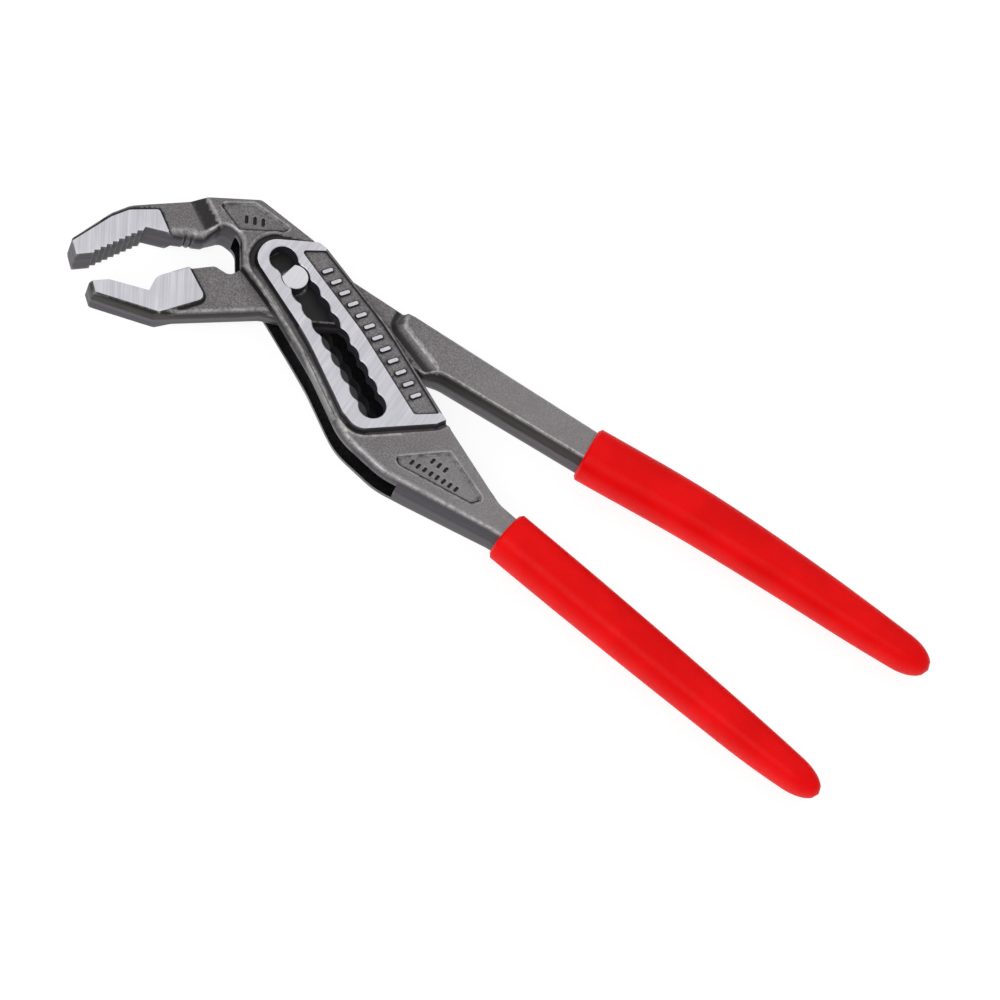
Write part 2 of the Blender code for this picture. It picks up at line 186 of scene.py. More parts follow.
TONGUE_RIM = [
    (-46.3, -28.2, 0.3, 0.05, 0.0),
    (-42.1, -25.1, 1.0, 0.05, 0.0),
    (-31.6, -22.5, 0.3, 0.05, 0.0),
    (-31.8, -17.8, 4.0, 0.05, 0.0),
    (-25.7, -10.8, 0.5, 0.1, 0.0),
    (-20.1, -6.0, 2.0, 0.4, 0.1),
    (-15.6, -6.4, 2.0, 0.4, 0.1),
    (-10.4, 1.6, 5.0, 0.4, 0.1),
    (-6.0, 8.6, 5.0, 0.4, 0.1),
    (2.0, 10.4, 4.0, 0.4, 0.1),
    (30.3, 7.2, 0.4, 0.4, 0.1),
    (32.1, 7.6, 1.2, 0.6, 0.3),
    (93.6, 1.6, 0.8, 0.6, 0.3),
    (93.5, 0.3, 0.3, 0.8, 0.0),
    (120.0, -0.6, 60.0, 1.0, 0.0),
    (168.6, -6.6, 1.8, 1.0, 0.0),
    (168.0, -11.8, 1.8, 1.0, 0.0),
    (120.0, -7.4, 60.0, 1.0, 0.0),
    (93.2, -6.3, 0.3, 0.8, 0.0),
    (93.1, -7.8, 0.8, 0.7, 0.5),
    (46.0, -4.9, 9.0, 0.7, 0.7),
    (41.5, -6.2, 1.5, 0.5, 0.2),
    (36.0, -5.3, 3.0, 0.4, 0.1),
    (28.6, -1.5, 3.0, 0.4, 0.1),
    (18.0, -3.4, 8.0, 0.4, 0.1),
    (6.0, -9.4, 6.0, 0.4, 0.1),
    (-3.6, -12.1, 2.0, 0.5, 0.1),
    (-7.6, -14.9, 8.0, 0.5, 0.2),
    (-27.2, -27.8, 0.5, 0.4, 0.2),
    (-44.0, -30.9, 0.5, 0.05, 0.1),
]
LOWER_PAD = [
    (-46.0, -27.2, 0.0),
    (-44.0, -20.0, 0.0),
    (-34.0, -12.0, 0.0),
    (-28.0, -8.7, 0.0),
    (-25.7, -10.8, 0.0),
    (-17.9, -16.8, 1.8),
    (-26.6, -26.7, 0.5),
    (-43.5, -30.2, 0.2),
]
HANDLE_RIDGE = [
    (30.4, 12.0, 0.0),
    (93.4, 8.0, 0.0),
    (93.2, -12.0, 0.0),
    (46.0, -12.0, 0.0),
    (44.1, -3.5, 3.0),
    (30.5, 3.6, 1.0),
]

UPPER_GRIP_LINE = [
    (88.6, -2.7, 7.1),
    (91.0, -2.8, 7.1),
    (120.0, -4.0, 6.89),
    (150.0, -7.0, 6.18),
    (175.0, -10.3, 5.25),
    (193.8, -12.8, 4.1),
]
LOWER_GRIP_LINE = [
    (79.6, -35.5, 6.6),
    (82.0, -36.1, 6.6),
    (110.0, -43.0, 6.4),
    (140.0, -50.4, 5.8),
    (164.0, -56.3, 5.0),
    (181.8, -60.2, 3.7),
]


def smooth(t):
    """0 below 0, 1 above 1, and an S between."""
    t = np.clip(t, 0, 1)
    return t * t * (3 - 2 * t)


def soft_max(a, b, k=0.12):
    """The larger of two heights, blended over k."""
    gap = np.clip(1 - np.abs(a - b) / k, 0, 1)
    return np.maximum(a, b) + gap * gap * k / 4


def soft_min(a, b, k=0.12):
    """The smaller of two heights, blended over k."""
    return -soft_max(-a, -b, k)


def trace(corners, step=STEP):
    """Points along a filleted outline, counter-clockwise, with the corners' values."""
    rows = []
    count = len(corners)
    for i in range(count):
        x, y, radius = corners[i][:3]
        extra = corners[i][3:]
        px, py = corners[i - 1][:2]
        nx, ny = corners[(i + 1) % count][:2]
        ax, ay, bx, by = px - x, py - y, nx - x, ny - y
        la, lb = math.hypot(ax, ay), math.hypot(bx, by)
        ax, ay, bx, by = ax / la, ay / la, bx / lb, by / lb
        half = math.acos(max(-1.0, min(1.0, ax * bx + ay * by))) / 2
        if radius <= 0 or half > math.radians(89.5):
            rows.append((x, y, *extra))
            continue
        reach = min(radius / math.tan(half), 0.46 * la, 0.46 * lb)
        radius = reach * math.tan(half)
        mx, my = ax + bx, ay + by
        away = radius / math.sin(half) / math.hypot(mx, my)
        cx, cy = x + mx * away, y + my * away
        a0 = math.atan2(y + ay * reach - cy, x + ax * reach - cx)
        a1 = math.atan2(y + by * reach - cy, x + bx * reach - cx)
        turn = (a1 - a0 + math.pi) % (2 * math.pi) - math.pi
        parts = max(3, int(abs(turn) * radius / step), int(abs(turn) / 0.22))
        for k in range(parts + 1):
            a = a0 + turn * k / parts
            rows.append((cx + radius * math.cos(a), cy + radius * math.sin(a), *extra))
    rows = np.array(rows, float)
    dense = []
    for one, two in zip(rows, np.roll(rows, -1, 0)):
        parts = max(1, math.ceil(np.hypot(*(two - one)[:2]) / step))
        for k in range(parts):
            dense.append(one + (two - one) * k / parts)
    dense = np.array(dense)
    gap = np.hypot(*(dense - np.roll(dense, 1, 0))[:, :2].T)
    dense = dense[gap > 0.02]
    x, y = dense[:, 0], dense[:, 1]
    if (x * np.roll(y, -1) - y * np.roll(x, -1)).sum() < 0:
        dense = dense[::-1]
    return dense


def outward(loop):
    """Unit normals that point out of a counter-clockwise loop."""
    ahead = np.roll(loop, -1, 0) - loop
    behind = loop - np.roll(loop, 1, 0)
    ahead /= np.maximum(np.hypot(*ahead.T), 1e-9)[:, None]
    behind /= np.maximum(np.hypot(*behind.T), 1e-9)[:, None]
    along = ahead + behind
    normal = np.stack([along[:, 1], -along[:, 0]], 1)
    return normal / np.maximum(np.hypot(*normal.T), 1e-9)[:, None]


def field(points, loop, reach=None):
    """Signed distance to a closed loop, negative inside, and the nearest segment and share.

    With a reach, points that far outside the loop's box are given that distance.
    """
    points = np.asarray(points, float)
    distance = np.full(len(points), reach if reach else 0.0)
    segment = np.zeros(len(points), int)
    share = np.zeros(len(points))
    todo = np.arange(len(points))
    if reach:
        low, high = loop.min(0) - reach, loop.max(0) + reach
        todo = np.flatnonzero(((points > low) & (points < high)).all(1))
    a = loop.astype(np.float32)
    ab = np.roll(a, -1, 0) - a
    ax, ay, bx, by = a[:, 0], a[:, 1], ab[:, 0], ab[:, 1]
    size = np.maximum(bx * bx + by * by, 1e-12)
    rise = np.where(np.abs(by) < 1e-9, 1e-9, by)
    for i in range(0, len(todo), 1000):
        rows = todo[i : i + 1000]
        p = points[rows].astype(np.float32)
        dx, dy = p[:, :1] - ax, p[:, 1:] - ay
        t = np.clip((dx * bx + dy * by) / size, 0, 1)
        away = (dx - bx * t) ** 2 + (dy - by * t) ** 2
        k = away.argmin(1)
        here = np.arange(len(k))
        crosses = ((dy < 0) != (dy < by)) & (dx < dy / rise * bx)
        inside = crosses.sum(1) % 2 == 1
        distance[rows] = np.sqrt(away[here, k]) * np.where(inside, -1, 1)
        segment[rows] = k
        share[rows] = t[here, k]
    return distance, segment, share


def along(values, segment, share):
    """Values of a loop's points, taken at places between them."""
    one, two = values[segment], values[(segment + 1) % len(values)]
    if values.ndim > 1:
        share = share[:, None]
    return one + (two - one) * share


def rounding(depth, radius):
    """How far a rounded edge has dropped at a depth inside it."""
    radius = np.maximum(radius, 1e-4)
    back = np.clip(radius - depth, 0, radius)
    return radius - np.sqrt(np.maximum(radius**2 - back**2, 0))


def bar(centre, angle, length, width):
    """The outline of a small bar with rounded ends."""
    points = []
    for k in range(16):
        a = 2 * math.pi * k / 16
        push = (length - width) / 2 * (1 if math.cos(a) > 0 else -1)
        x, y = math.cos(a) * width / 2 + push, math.sin(a) * width / 2
        across, upward = x * math.cos(angle) - y * math.sin(angle), x * math.sin(angle) + y * math.cos(angle)
        points.append((centre[0] + across, centre[1] + upward))
    return np.array(points)


def slide_place(s, across):
    """A point s along the pin's travel and across to its upper right."""
    return (SLIDE[0] * s - SLIDE[1] * across, SLIDE[1] * s + SLIDE[0] * across)


def groove_centre(s):
    """How far the groove's middle lies across from the pin's travel at s."""
    return GROOVE_LEAN * s - s * s / (2 * GROOVE_CURVE_R)


def groove_loop(steps=18):
    """The scalloped groove, counter-clockwise."""
    places = [TOP_STATION] + [STATION_PITCH * i for i in range(STATIONS)]
    stops = []
    for a, b in zip(places, places[1:]):
        stops += [a + (b - a) * k / steps for k in range(steps)]
    stops.append(places[-1])
    high, low = [], []
    for s in stops:
        half = NECK_HALF
        for place in places:
            if abs(s - place) < SCALLOP_R:
                half = max(half, math.sqrt(SCALLOP_R**2 - (s - place) ** 2))
        centre = groove_centre(s)
        high.append(slide_place(s, centre + half))
        low.append(slide_place(s, centre - half))
    caps = []
    for place, side in ((places[-1], 1), (places[0], -1)):
        centre = groove_centre(place)
        arc = []
        for k in range(1, 24):
            a = math.pi / 2 - math.pi * k / 24
            reach = side * SCALLOP_R
            arc.append(slide_place(place + reach * math.cos(a), centre + reach * math.sin(a)))
        caps.append(arc)
    loop = np.array(high + caps[0] + low[::-1] + caps[1])
    return loop[::-1]


def inside_fence(faces, fence):
    """Which triangles can't be reached from outside without crossing a fence edge."""
    sides = [[tuple(sorted((f[i], f[i - 1]))) for i in range(3)] for f in faces]
    owners = {}
    for k, keys in enumerate(sides):
        for key in keys:
            owners.setdefault(key, []).append(k)
    todo = [own[0] for key, own in owners.items() if len(own) == 1 and key not in fence]
    kept = np.ones(len(faces), bool)
    kept[todo] = False
    while todo:
        for key in sides[todo.pop()]:
            for k in owners[key]:
                if key not in fence and kept[k]:
                    kept[k] = False
                    todo.append(k)
    return kept


def scatter(top, edge, creases, pitch):
    """Mesh points over an outline and the links between them: rim, creases, edge rings and a grid."""
    points = [tuple(p) for p in top]
    links = [(i, (i + 1) % len(top)) for i in range(len(top))]
    cells = {}

    def crowded(p, reach):
        i, j = int(p[0] // 0.5), int(p[1] // 0.5)
        span = int(reach // 0.5) + 1
        for u in range(i - span, i + span + 1):
            for v in range(j - span, j + span + 1):
                for q in cells.get((u, v), ()):
                    if (q[0] - p[0]) ** 2 + (q[1] - p[1]) ** 2 < reach * reach:
                        return True
        return False

    def place(p):
        cells.setdefault((int(p[0] // 0.5), int(p[1] // 0.5)), []).append(p)

    for p in points:
        place(p)

    def add_ring(ring, kept):
        last, first = None, None
        fresh = []
        for p, ok in zip(ring, kept):
            p = (float(p[0]), float(p[1]))
            if not ok or crowded(p, 0.07):
                last = None
                continue
            points.append(p)
            fresh.append(p)
            index = len(points) - 1
            if last is not None:
                links.append((last, index))
            if first is None:
                first = index
            last = index
        for p in fresh:
            place(p)

    for loop, offsets in creases:
        loop_normal = outward(loop)
        for offset in offsets:
            ring = loop + loop_normal * offset
            true, _, _ = field(ring, loop)
            inside, _, _ = field(ring, top, 1.0)
            ring = np.vstack([ring, ring[:1]])
            kept = (np.abs(true - offset) < 0.06) & (inside < -0.1)
            add_ring(ring, np.append(kept, kept[0]))
    for share in (0.12, 0.35, 0.65, 1.0, 1.3):
        depth = share * edge
        ring = top - outward(top) * depth[:, None]
        true, _, _ = field(ring, top)
        kept = (np.abs(true + depth) < 0.05) & (depth > 0.09)
        add_ring(ring, kept)
    low, high = top.min(0), top.max(0)
    grid = []
    rows = int((high[1] - low[1]) / (pitch * 0.866)) + 1
    columns = int((high[0] - low[0]) / pitch) + 2
    for j in range(rows):
        for i in range(columns):
            grid.append((low[0] + (i + 0.5 * (j % 2)) * pitch, low[1] + j * pitch * 0.866))
    grid = np.array(grid)
    inside, _, _ = field(grid, top)
    for p in grid[inside < -0.35 * pitch]:
        p = (float(p[0]), float(p[1]))
        if not crowded(p, 0.5 * pitch):
            points.append(p)
    return points, links


def fill(points, links, rim_count):
    """Triangles over the points and inside the rim's links, all facing up."""
    flat, wires, faces, _, sources, _ = delaunay_2d_cdt([Vector(p) for p in points], links, [], 0, 1e-5, True)
    fence = {tuple(sorted(e)) for e, source in zip(wires, sources) if any(i < rim_count for i in source)}
    flat = np.array([tuple(v) for v in flat])
    faces = np.array([tuple(f) for f in faces])[inside_fence(faces, fence)]
    used = np.unique(faces)
    renumber = -np.ones(len(flat), int)
    renumber[used] = np.arange(len(used))
    flat, faces = flat[used], renumber[faces]
    a, b, c = (flat[faces[:, i]] for i in range(3))
    area = (b[:, 0] - a[:, 0]) * (c[:, 1] - a[:, 1]) - (b[:, 1] - a[:, 1]) * (c[:, 0] - a[:, 0])
    faces[area < 0] = faces[area < 0][:, ::-1]
    return flat, faces


def border_of(name, faces):
    """The open edge of the triangles, as one loop of points."""
    follow = {}
    for f in faces:
        for i in range(3):
            follow[(f[i], f[(i + 1) % 3])] = True
    after = {p: q for p, q in follow if (q, p) not in follow}
    start = next(iter(after))
    border = [start]
    while after[border[-1]] != start and len(border) <= len(after):
        border.append(after[border[-1]])
    assert len(border) == len(after), name + ": the outline is not one loop"
    return np.array(border)


def relief(name, rim, creases, height, paint, pitch=0.8):
    """A closed plate whose two faces rise to height(points, depth, edge) from the middle plane.

    Creases are (loop, offsets) pairs: mesh edges follow each loop at each offset.
    Paint gives the lightening (rubbing and painted highlight) and the darkening (dirt and painted shade) of
    both faces at the same places.
    """
    outline, edge, draft = rim[:, :2], rim[:, 2], rim[:, 3]
    normal = outward(outline)
    top = outline - normal * draft[:, None]
    points, links = scatter(top, edge, creases, pitch)
    flat, faces = fill(points, links, len(top))
    distance, segment, part = field(flat, top)
    depth = np.maximum(-distance, 0)
    edges = along(edge, segment, part)
    rise = height(flat, depth, edges)
    worn_and_lit, dirt_and_shade = paint(flat, depth, edges)
    border = border_of(name, faces)
    out = along(normal, segment[border], part[border]) * along(draft, segment[border], part[border])[:, None]
    count = len(flat)
    edge_rise = rise[border]
    verts = [np.column_stack([flat, MID + rise]), np.column_stack([flat, MID - rise])]
    rings = []
    for fall, shift in ((0.35, 0.4), (0.7, 0.8)):
        z = edge_rise + (1.0 - edge_rise) * fall
        rings.append(np.column_stack([flat[border] + out * shift, z]))
    for shift, z in ((0.86, 1.0), (1.0, 0.8), (1.0, 0.0)):
        rings.append(np.column_stack([flat[border] + out * shift, np.full(len(border), z)]))
    ring_index = [border]
    start_at = 2 * count
    for ring in rings:
        verts.append(ring + [0, 0, MID])
        ring_index.append(start_at + np.arange(len(border)))
        start_at += len(border)
    for ring in rings[-2::-1]:
        verts.append(ring * [1, 1, -1] + [0, 0, MID])
        ring_index.append(start_at + np.arange(len(border)))
        start_at += len(border)
    ring_index.append(border + count)
    polygons = [tuple(f) for f in faces] + [tuple(f[::-1] + count) for f in faces]
    for one, two in zip(ring_index, ring_index[1:]):
        ahead_one, ahead_two = np.roll(one, -1), np.roll(two, -1)
        polygons += [tuple(q) for q in np.column_stack([one, two, ahead_two, ahead_one])]
    polygons = [tuple(int(i) for i in p) for p in polygons]
    obj = new_piece(name, np.vstack(verts), polygons)
    sides = np.zeros(start_at - 2 * count)
    # The two stored marks: lightening from rubbing and painted highlight, darkening from dirt and painted
    # shade.
    for label, values in (("rubbed_and_highlit", worn_and_lit), ("soiled_and_shaded", dirt_and_shade)):
        layer = obj.data.attributes.new(label, "FLOAT", "POINT")
        layer.data.foreach_set("value", np.concatenate([values, values, sides]).astype(np.float32))
    return obj


def new_piece(name, verts, faces):
    """A mesh object from millimetre coordinates."""
    data = bpy.data.meshes.new(name)
    data.from_pydata([tuple(v) for v in np.asarray(verts) * MM], [], faces)
    data.validate()
    obj = bpy.data.objects.new(name, data)
    bpy.context.scene.collection.objects.link(obj)
    return obj


def slab(name, loop, low, high):
    """An upright block over a loop, from low to high above the middle plane."""
    count = len(loop)
    verts = np.vstack([np.column_stack([loop, np.full(count, MID + z)]) for z in (low, high)])
    faces = [tuple(range(count))[::-1], tuple(range(count, 2 * count))]
    faces += [(i, (i + 1) % count, count + (i + 1) % count, count + i) for i in range(count)]
    obj = new_piece(name, verts, faces)
    shape = bmesh.new()
    shape.from_mesh(obj.data)
    bmesh.ops.triangulate(shape, faces=shape.faces)
    shape.to_mesh(obj.data)
    shape.free()
    return obj


def carve(obj, *tools):
    """Cut tools out of obj and remove them."""
    for tool in tools:
        cut = obj.modifiers.new("cut", "BOOLEAN")
        cut.operation = "DIFFERENCE"
        cut.object = tool
        cut.solver = "MANIFOLD"
    graph = bpy.context.evaluated_depsgraph_get()
    data = bpy.data.meshes.new_from_object(obj.evaluated_get(graph))
    obj.modifiers.clear()
    obj.data = data
    data.name = obj.name
    for tool in tools:
        bpy.data.objects.remove(tool, do_unlink=True)
    return obj


def coordinates(data):
    """Vertex positions of a mesh in millimetres."""
    co = np.empty(len(data.vertices) * 3)
    data.vertices.foreach_get("co", co)
    return co.reshape(-1, 3) / MM


def mark_curvature(obj, passes=3):
    """Store how convex (lightened, for rubbing and painted highlight) and how hollow (darkened, for dirt and
    painted shade) the surface is at each vertex.
    """
    data = obj.data
    co = coordinates(data)
    normal = np.empty(len(co) * 3)
    data.vertices.foreach_get("normal", normal)
    normal = normal.reshape(-1, 3)
    ends = np.empty(len(data.edges) * 2, int)
    data.edges.foreach_get("vertices", ends)
    ends = ends.reshape(-1, 2)
    a, b = ends[:, 0], ends[:, 1]
    span = co[b] - co[a]
    length = np.maximum(np.linalg.norm(span, axis=1), 1e-4)
    count = len(co)
    lift = np.bincount(a, (span * normal[a]).sum(1) / length, count)
    lift += np.bincount(b, -(span * normal[b]).sum(1) / length, count)
    weight = np.bincount(a, length, count) + np.bincount(b, length, count)
    bend = np.clip(lift / np.maximum(weight, 1e-4), -2, 2)
    degree = np.bincount(a, minlength=count) + np.bincount(b, minlength=count)
    for _ in range(passes):
        spread = np.bincount(a, bend[b], count) + np.bincount(b, bend[a], count)
        bend = 0.5 * bend + 0.5 * spread / np.maximum(degree, 1)
    for label, values, source in (("wear_and_highlight", -bend, "rubbed_and_highlit"), ("grime_and_shade", bend, "soiled_and_shaded")):
        values = np.clip(values, 0, 1)
        if source in data.attributes:
            given = np.empty(count, np.float32)
            data.attributes[source].data.foreach_get("value", given)
            values = np.maximum(values, given)
        layer = data.attributes.new(label, "FLOAT", "POINT")
        layer.data.foreach_set("value", values.astype(np.float32))


def finish_mesh(obj, angle=32):
    """Smooth shading with sharp creases."""
    data = obj.data
    data.polygons.foreach_set("use_smooth", np.ones(len(data.polygons), bool))
    data.set_sharp_from_angle(angle=math.radians(angle))
    data.update()


def faces_of(data):
    """Face centres and normals of a mesh, in millimetres."""
    count = len(data.polygons)
    centre, normal = np.empty(count * 3), np.empty(count * 3)
    data.polygons.foreach_get("center", centre)
    data.polygons.foreach_get("normal", normal)
    return centre.reshape(-1, 3) / MM, normal.reshape(-1, 3)


def assign(obj, materials, index):
    """Give obj its materials and each face its slot."""
    obj.data.materials.clear()
    for m in materials:
        obj.data.materials.append(m)
    obj.data.polygons.foreach_set("material_index", index.astype(np.int32))
    obj.data.update()


# Node materials. Patterns are laid out in millimetres on the resting object.


class Net:
    """A node material under construction."""

    def __init__(self, name, roughness=0.5, metallic=0.0):
        self.material = bpy.data.materials.new(name)
        self.material.use_nodes = True
        self.tree = self.material.node_tree
        self.shader = self.tree.nodes["Principled BSDF"]
        self.shader.inputs["Roughness"].default_value = roughness
        self.shader.inputs["Metallic"].default_value = metallic

    def add(self, kind, **settings):
        """A node with its attributes and unlinked inputs set."""
        node = self.tree.nodes.new(kind)
        for key, value in settings.items():
            setattr(node, key, value)
        return node

    def feed(self, source, target):
        """Link a socket, or write a number or a colour, to an input."""
        if isinstance(source, bpy.types.NodeSocket):
            self.tree.links.new(source, target)
        else:
            target.default_value = source

    def place(self, turn=0.0, stretch=(1.0, 1.0, 1.0)):
        """Millimetre coordinates, turned about Z by degrees and then stretched."""
        coordinate = self.add("ShaderNodeTexCoord")
        spin = self.add("ShaderNodeMapping")
        spin.inputs["Rotation"].default_value = (0, 0, math.radians(-turn))
        self.feed(coordinate.outputs["Object"], spin.inputs["Vector"])
        scale = self.add("ShaderNodeMapping")
        scale.inputs["Scale"].default_value = [1000 * s for s in stretch]
        self.feed(spin.outputs["Vector"], scale.inputs["Vector"])
        return scale.outputs["Vector"]

    def noise(self, vector, size, detail=2.0, rough=0.5):
        """Noise whose features are about size millimetres across."""
        node = self.add("ShaderNodeTexNoise")
        node.inputs["Scale"].default_value = 1 / size
        node.inputs["Detail"].default_value = detail
        node.inputs["Roughness"].default_value = rough
        self.feed(vector, node.inputs["Vector"])
        return node.outputs["Fac"]

    def band(self, value, low, high, out_low=0.0, out_high=1.0):
        """Value mapped from low..high to out_low..out_high, clamped."""
        node = self.add("ShaderNodeMapRange", interpolation_type="SMOOTHSTEP")
        self.feed(value, node.inputs["Value"])
        for key, number in (("From Min", low), ("From Max", high), ("To Min", out_low), ("To Max", out_high)):
            node.inputs[key].default_value = number
        return node.outputs["Result"]

    def sum(self, operation, a, b):
        """Arithmetic on two values."""
        node = self.add("ShaderNodeMath", operation=operation)
        self.feed(a, node.inputs[0])
        self.feed(b, node.inputs[1])
        return node.outputs[0]

    def mix(self, share, one, two):
        """Colour one at share 0 and colour two at share 1."""
        node = self.add("ShaderNodeMix", data_type="RGBA")
        self.feed(share, node.inputs[0])
        self.feed(one, node.inputs[6])
        self.feed(two, node.inputs[7])
        return node.outputs[2]

    def layer(self, name):
        """A value stored on the mesh."""
        return self.add("ShaderNodeAttribute", attribute_name=name).outputs["Fac"]

    def upright(self):
        """How level the surface is: 1 on the two faces and 0 on the sides."""
        geometry = self.add("ShaderNodeNewGeometry")
        parts = self.add("ShaderNodeSeparateXYZ")
        self.feed(geometry.outputs["Normal"], parts.inputs[0])
        return self.sum("ABSOLUTE", parts.outputs["Z"], 0.0)

    def bump(self, height, depth, strength=1.0):
        """Fine relief of the given depth in millimetres."""
        node = self.add("ShaderNodeBump")
        node.inputs["Strength"].default_value = strength
        node.inputs["Distance"].default_value = depth * MM
        self.feed(height, node.inputs["Height"])
        self.feed(node.outputs["Normal"], self.shader.inputs["Normal"])

    def finish(self, colour, roughness=None):
        """Connect the colour and the roughness."""
        self.feed(colour, self.shader.inputs["Base Color"])
        if roughness is not None:
            self.feed(roughness, self.shader.inputs["Roughness"])
        return self.material


def grey(value, warm=0.0):
    """A linear grey, a little warmer or colder."""
    return (value * (1 + warm), value, value * (1 - warm), 1.0)


def forged_steel():
    """Blasted forging: pale on ridges (rubbing and painted highlight), brown and dark in the corners (dirt
    and painted shade), and darker on sloping faces (painted shade).
    """
    net = Net("forged_steel", metallic=0.35)
    place = net.place()
    grain = net.noise(place, 0.5, 3.0, 0.7)
    blotch = net.noise(place, 5.0, 4.0, 0.6)
    patch = net.noise(place, 1.5, 3.0, 0.6)
    colour = net.mix(net.band(grain, 0.34, 0.66), (0.110, 0.102, 0.110, 1.0), (0.262, 0.246, 0.256, 1.0))
    colour = net.mix(net.band(blotch, 0.35, 0.7, 0.0, 0.45), colour, (0.12, 0.108, 0.10, 1.0))
    spot = net.add("ShaderNodeSeparateXYZ")
    net.feed(place, spot.inputs[0])
    colour = net.mix(net.band(spot.outputs["X"], 25.0, 75.0, 0.0, 0.45), colour, (0.300, 0.284, 0.292, 1.0))
    # Painted shade: faces that slope away from level are darkened.
    colour = net.mix(net.band(net.upright(), 0.92, 0.45, 0.0, 0.75), colour, (0.05, 0.042, 0.040, 1.0))
    # Near black in hollows and on shaded walls: dirt and painted shade.
    grime_and_shade = net.band(net.layer("grime_and_shade"), 0.06, 0.5, 0.0, 0.95)
    colour = net.mix(grime_and_shade, colour, (0.005, 0.004, 0.004, 1.0))
    # Lighter on ridges and on lit walls: rubbing and painted highlight.
    rub_and_highlight = net.sum("MULTIPLY", net.band(net.layer("wear_and_highlight"), 0.05, 0.45), net.band(patch, 0.3, 0.62, 0.15, 1.0))
    colour = net.mix(net.sum("MULTIPLY", rub_and_highlight, 0.8), colour, grey(0.42, 0.01))
    rough = net.band(rub_and_highlight, 0.0, 1.0, 0.52, 0.34)
    net.bump(net.sum("ADD", grain, net.sum("MULTIPLY", patch, 0.6)), 0.05, 0.55)
    return net.finish(colour, rough)


def side_steel(name, upper, ridge):
    """The trimmed edge of the forgings, painted darker than the faces as shade: its upper half in its own
    colour, and a parting ridge.
    """
    net = Net(name, metallic=0.3)
    place = net.place()
    grain = net.noise(place, 0.35, 3.0, 0.6)
    lines = net.noise(net.place(stretch=(0.25, 0.25, 3.0)), 1.0, 3.0, 0.55)
    colour = net.mix(net.band(lines, 0.3, 0.7), (0.040, 0.034, 0.044, 1.0), (0.068, 0.060, 0.074, 1.0))
    parts = net.add("ShaderNodeSeparateXYZ")
    net.feed(place, parts.inputs[0])
    wobble = net.sum("MULTIPLY", net.sum("SUBTRACT", net.noise(place, 3.0), 0.5), 0.8)
    rise = net.sum("ADD", parts.outputs["Z"], wobble)
    above = net.band(rise, MID + 0.5, MID + 1.0)
    colour = net.mix(above, colour, upper)
    seam = net.sum("MULTIPLY", net.band(rise, MID - 0.9, MID - 0.3), net.band(rise, MID + 1.0, MID + 0.5))
    colour = net.mix(net.sum("MULTIPLY", seam, ridge), colour, grey(0.24, 0.0))
    colour = net.mix(net.band(grain, 0.4, 0.75, 0.0, 0.3), colour, (0.04, 0.036, 0.04, 1.0))
    # Lighter where rubbing and painted highlight are marked.
    rub_and_highlight = net.band(net.layer("wear_and_highlight"), 0.08, 0.5, 0.0, 0.6)
    colour = net.mix(rub_and_highlight, colour, grey(0.34, 0.0))
    # Near black in hollows: dirt and painted shade.
    colour = net.mix(net.band(net.layer("grime_and_shade"), 0.1, 0.6, 0.0, 0.8), colour, (0.012, 0.011, 0.012, 1.0))
    net.bump(grain, 0.03, 0.4)
    return net.finish(colour, net.band(lines, 0.3, 0.7, 0.4, 0.55))


def ground_steel(name, turn):
    """Steel ground bright, with streaks along the direction turn."""
    net = Net(name, metallic=0.35)
    fine = net.noise(net.place(turn, (0.05, 4.2, 1.0)), 1.0, 3.0, 0.6)
    broad = net.noise(net.place(turn, (0.04, 0.8, 0.5)), 1.0, 2.0, 0.5)
    cloud = net.noise(net.place(), 7.0, 2.0, 0.5)
    streak = net.sum("ADD", net.sum("MULTIPLY", fine, 0.6), net.sum("MULTIPLY", broad, 0.4))
    colour = net.mix(net.band(streak, 0.36, 0.64), (0.52, 0.512, 0.56, 1.0), (0.66, 0.652, 0.705, 1.0))
    colour = net.mix(net.band(cloud, 0.4, 0.7, 0.0, 0.25), colour, (0.48, 0.475, 0.515, 1.0))
    # Lighter where rubbing and painted highlight are marked.
    colour = net.mix(net.band(net.layer("wear_and_highlight"), 0.1, 0.6, 0.0, 0.5), colour, (0.78, 0.775, 0.80, 1.0))
    net.bump(streak, 0.012, 0.5)
    return net.finish(colour, net.band(streak, 0.35, 0.65, 0.42, 0.28))


def channel_steel():
    """Steel inside the box and the groove, painted near black as shade."""
    net = Net("channel_steel", metallic=0.3)
    place = net.place()
    grain = net.noise(place, 0.5, 3.0, 0.6)
    colour = net.mix(net.band(grain, 0.35, 0.7), (0.004, 0.004, 0.005, 1.0), (0.011, 0.010, 0.012, 1.0))
    net.bump(grain, 0.04, 0.4)
    return net.finish(colour, net.band(grain, 0.3, 0.7, 0.3, 0.5))


def groove_steel():
    """The scalloped wall of the groove, machined, and painted dark as shade."""
    net = Net("groove_steel", metallic=0.5)
    lines = net.noise(net.place(stretch=(0.3, 0.3, 4.0)), 1.0, 2.0, 0.5)
    colour = net.mix(net.band(lines, 0.3, 0.7), (0.030, 0.027, 0.036, 1.0), (0.075, 0.069, 0.088, 1.0))
    return net.finish(colour, net.band(lines, 0.3, 0.7, 0.25, 0.4))


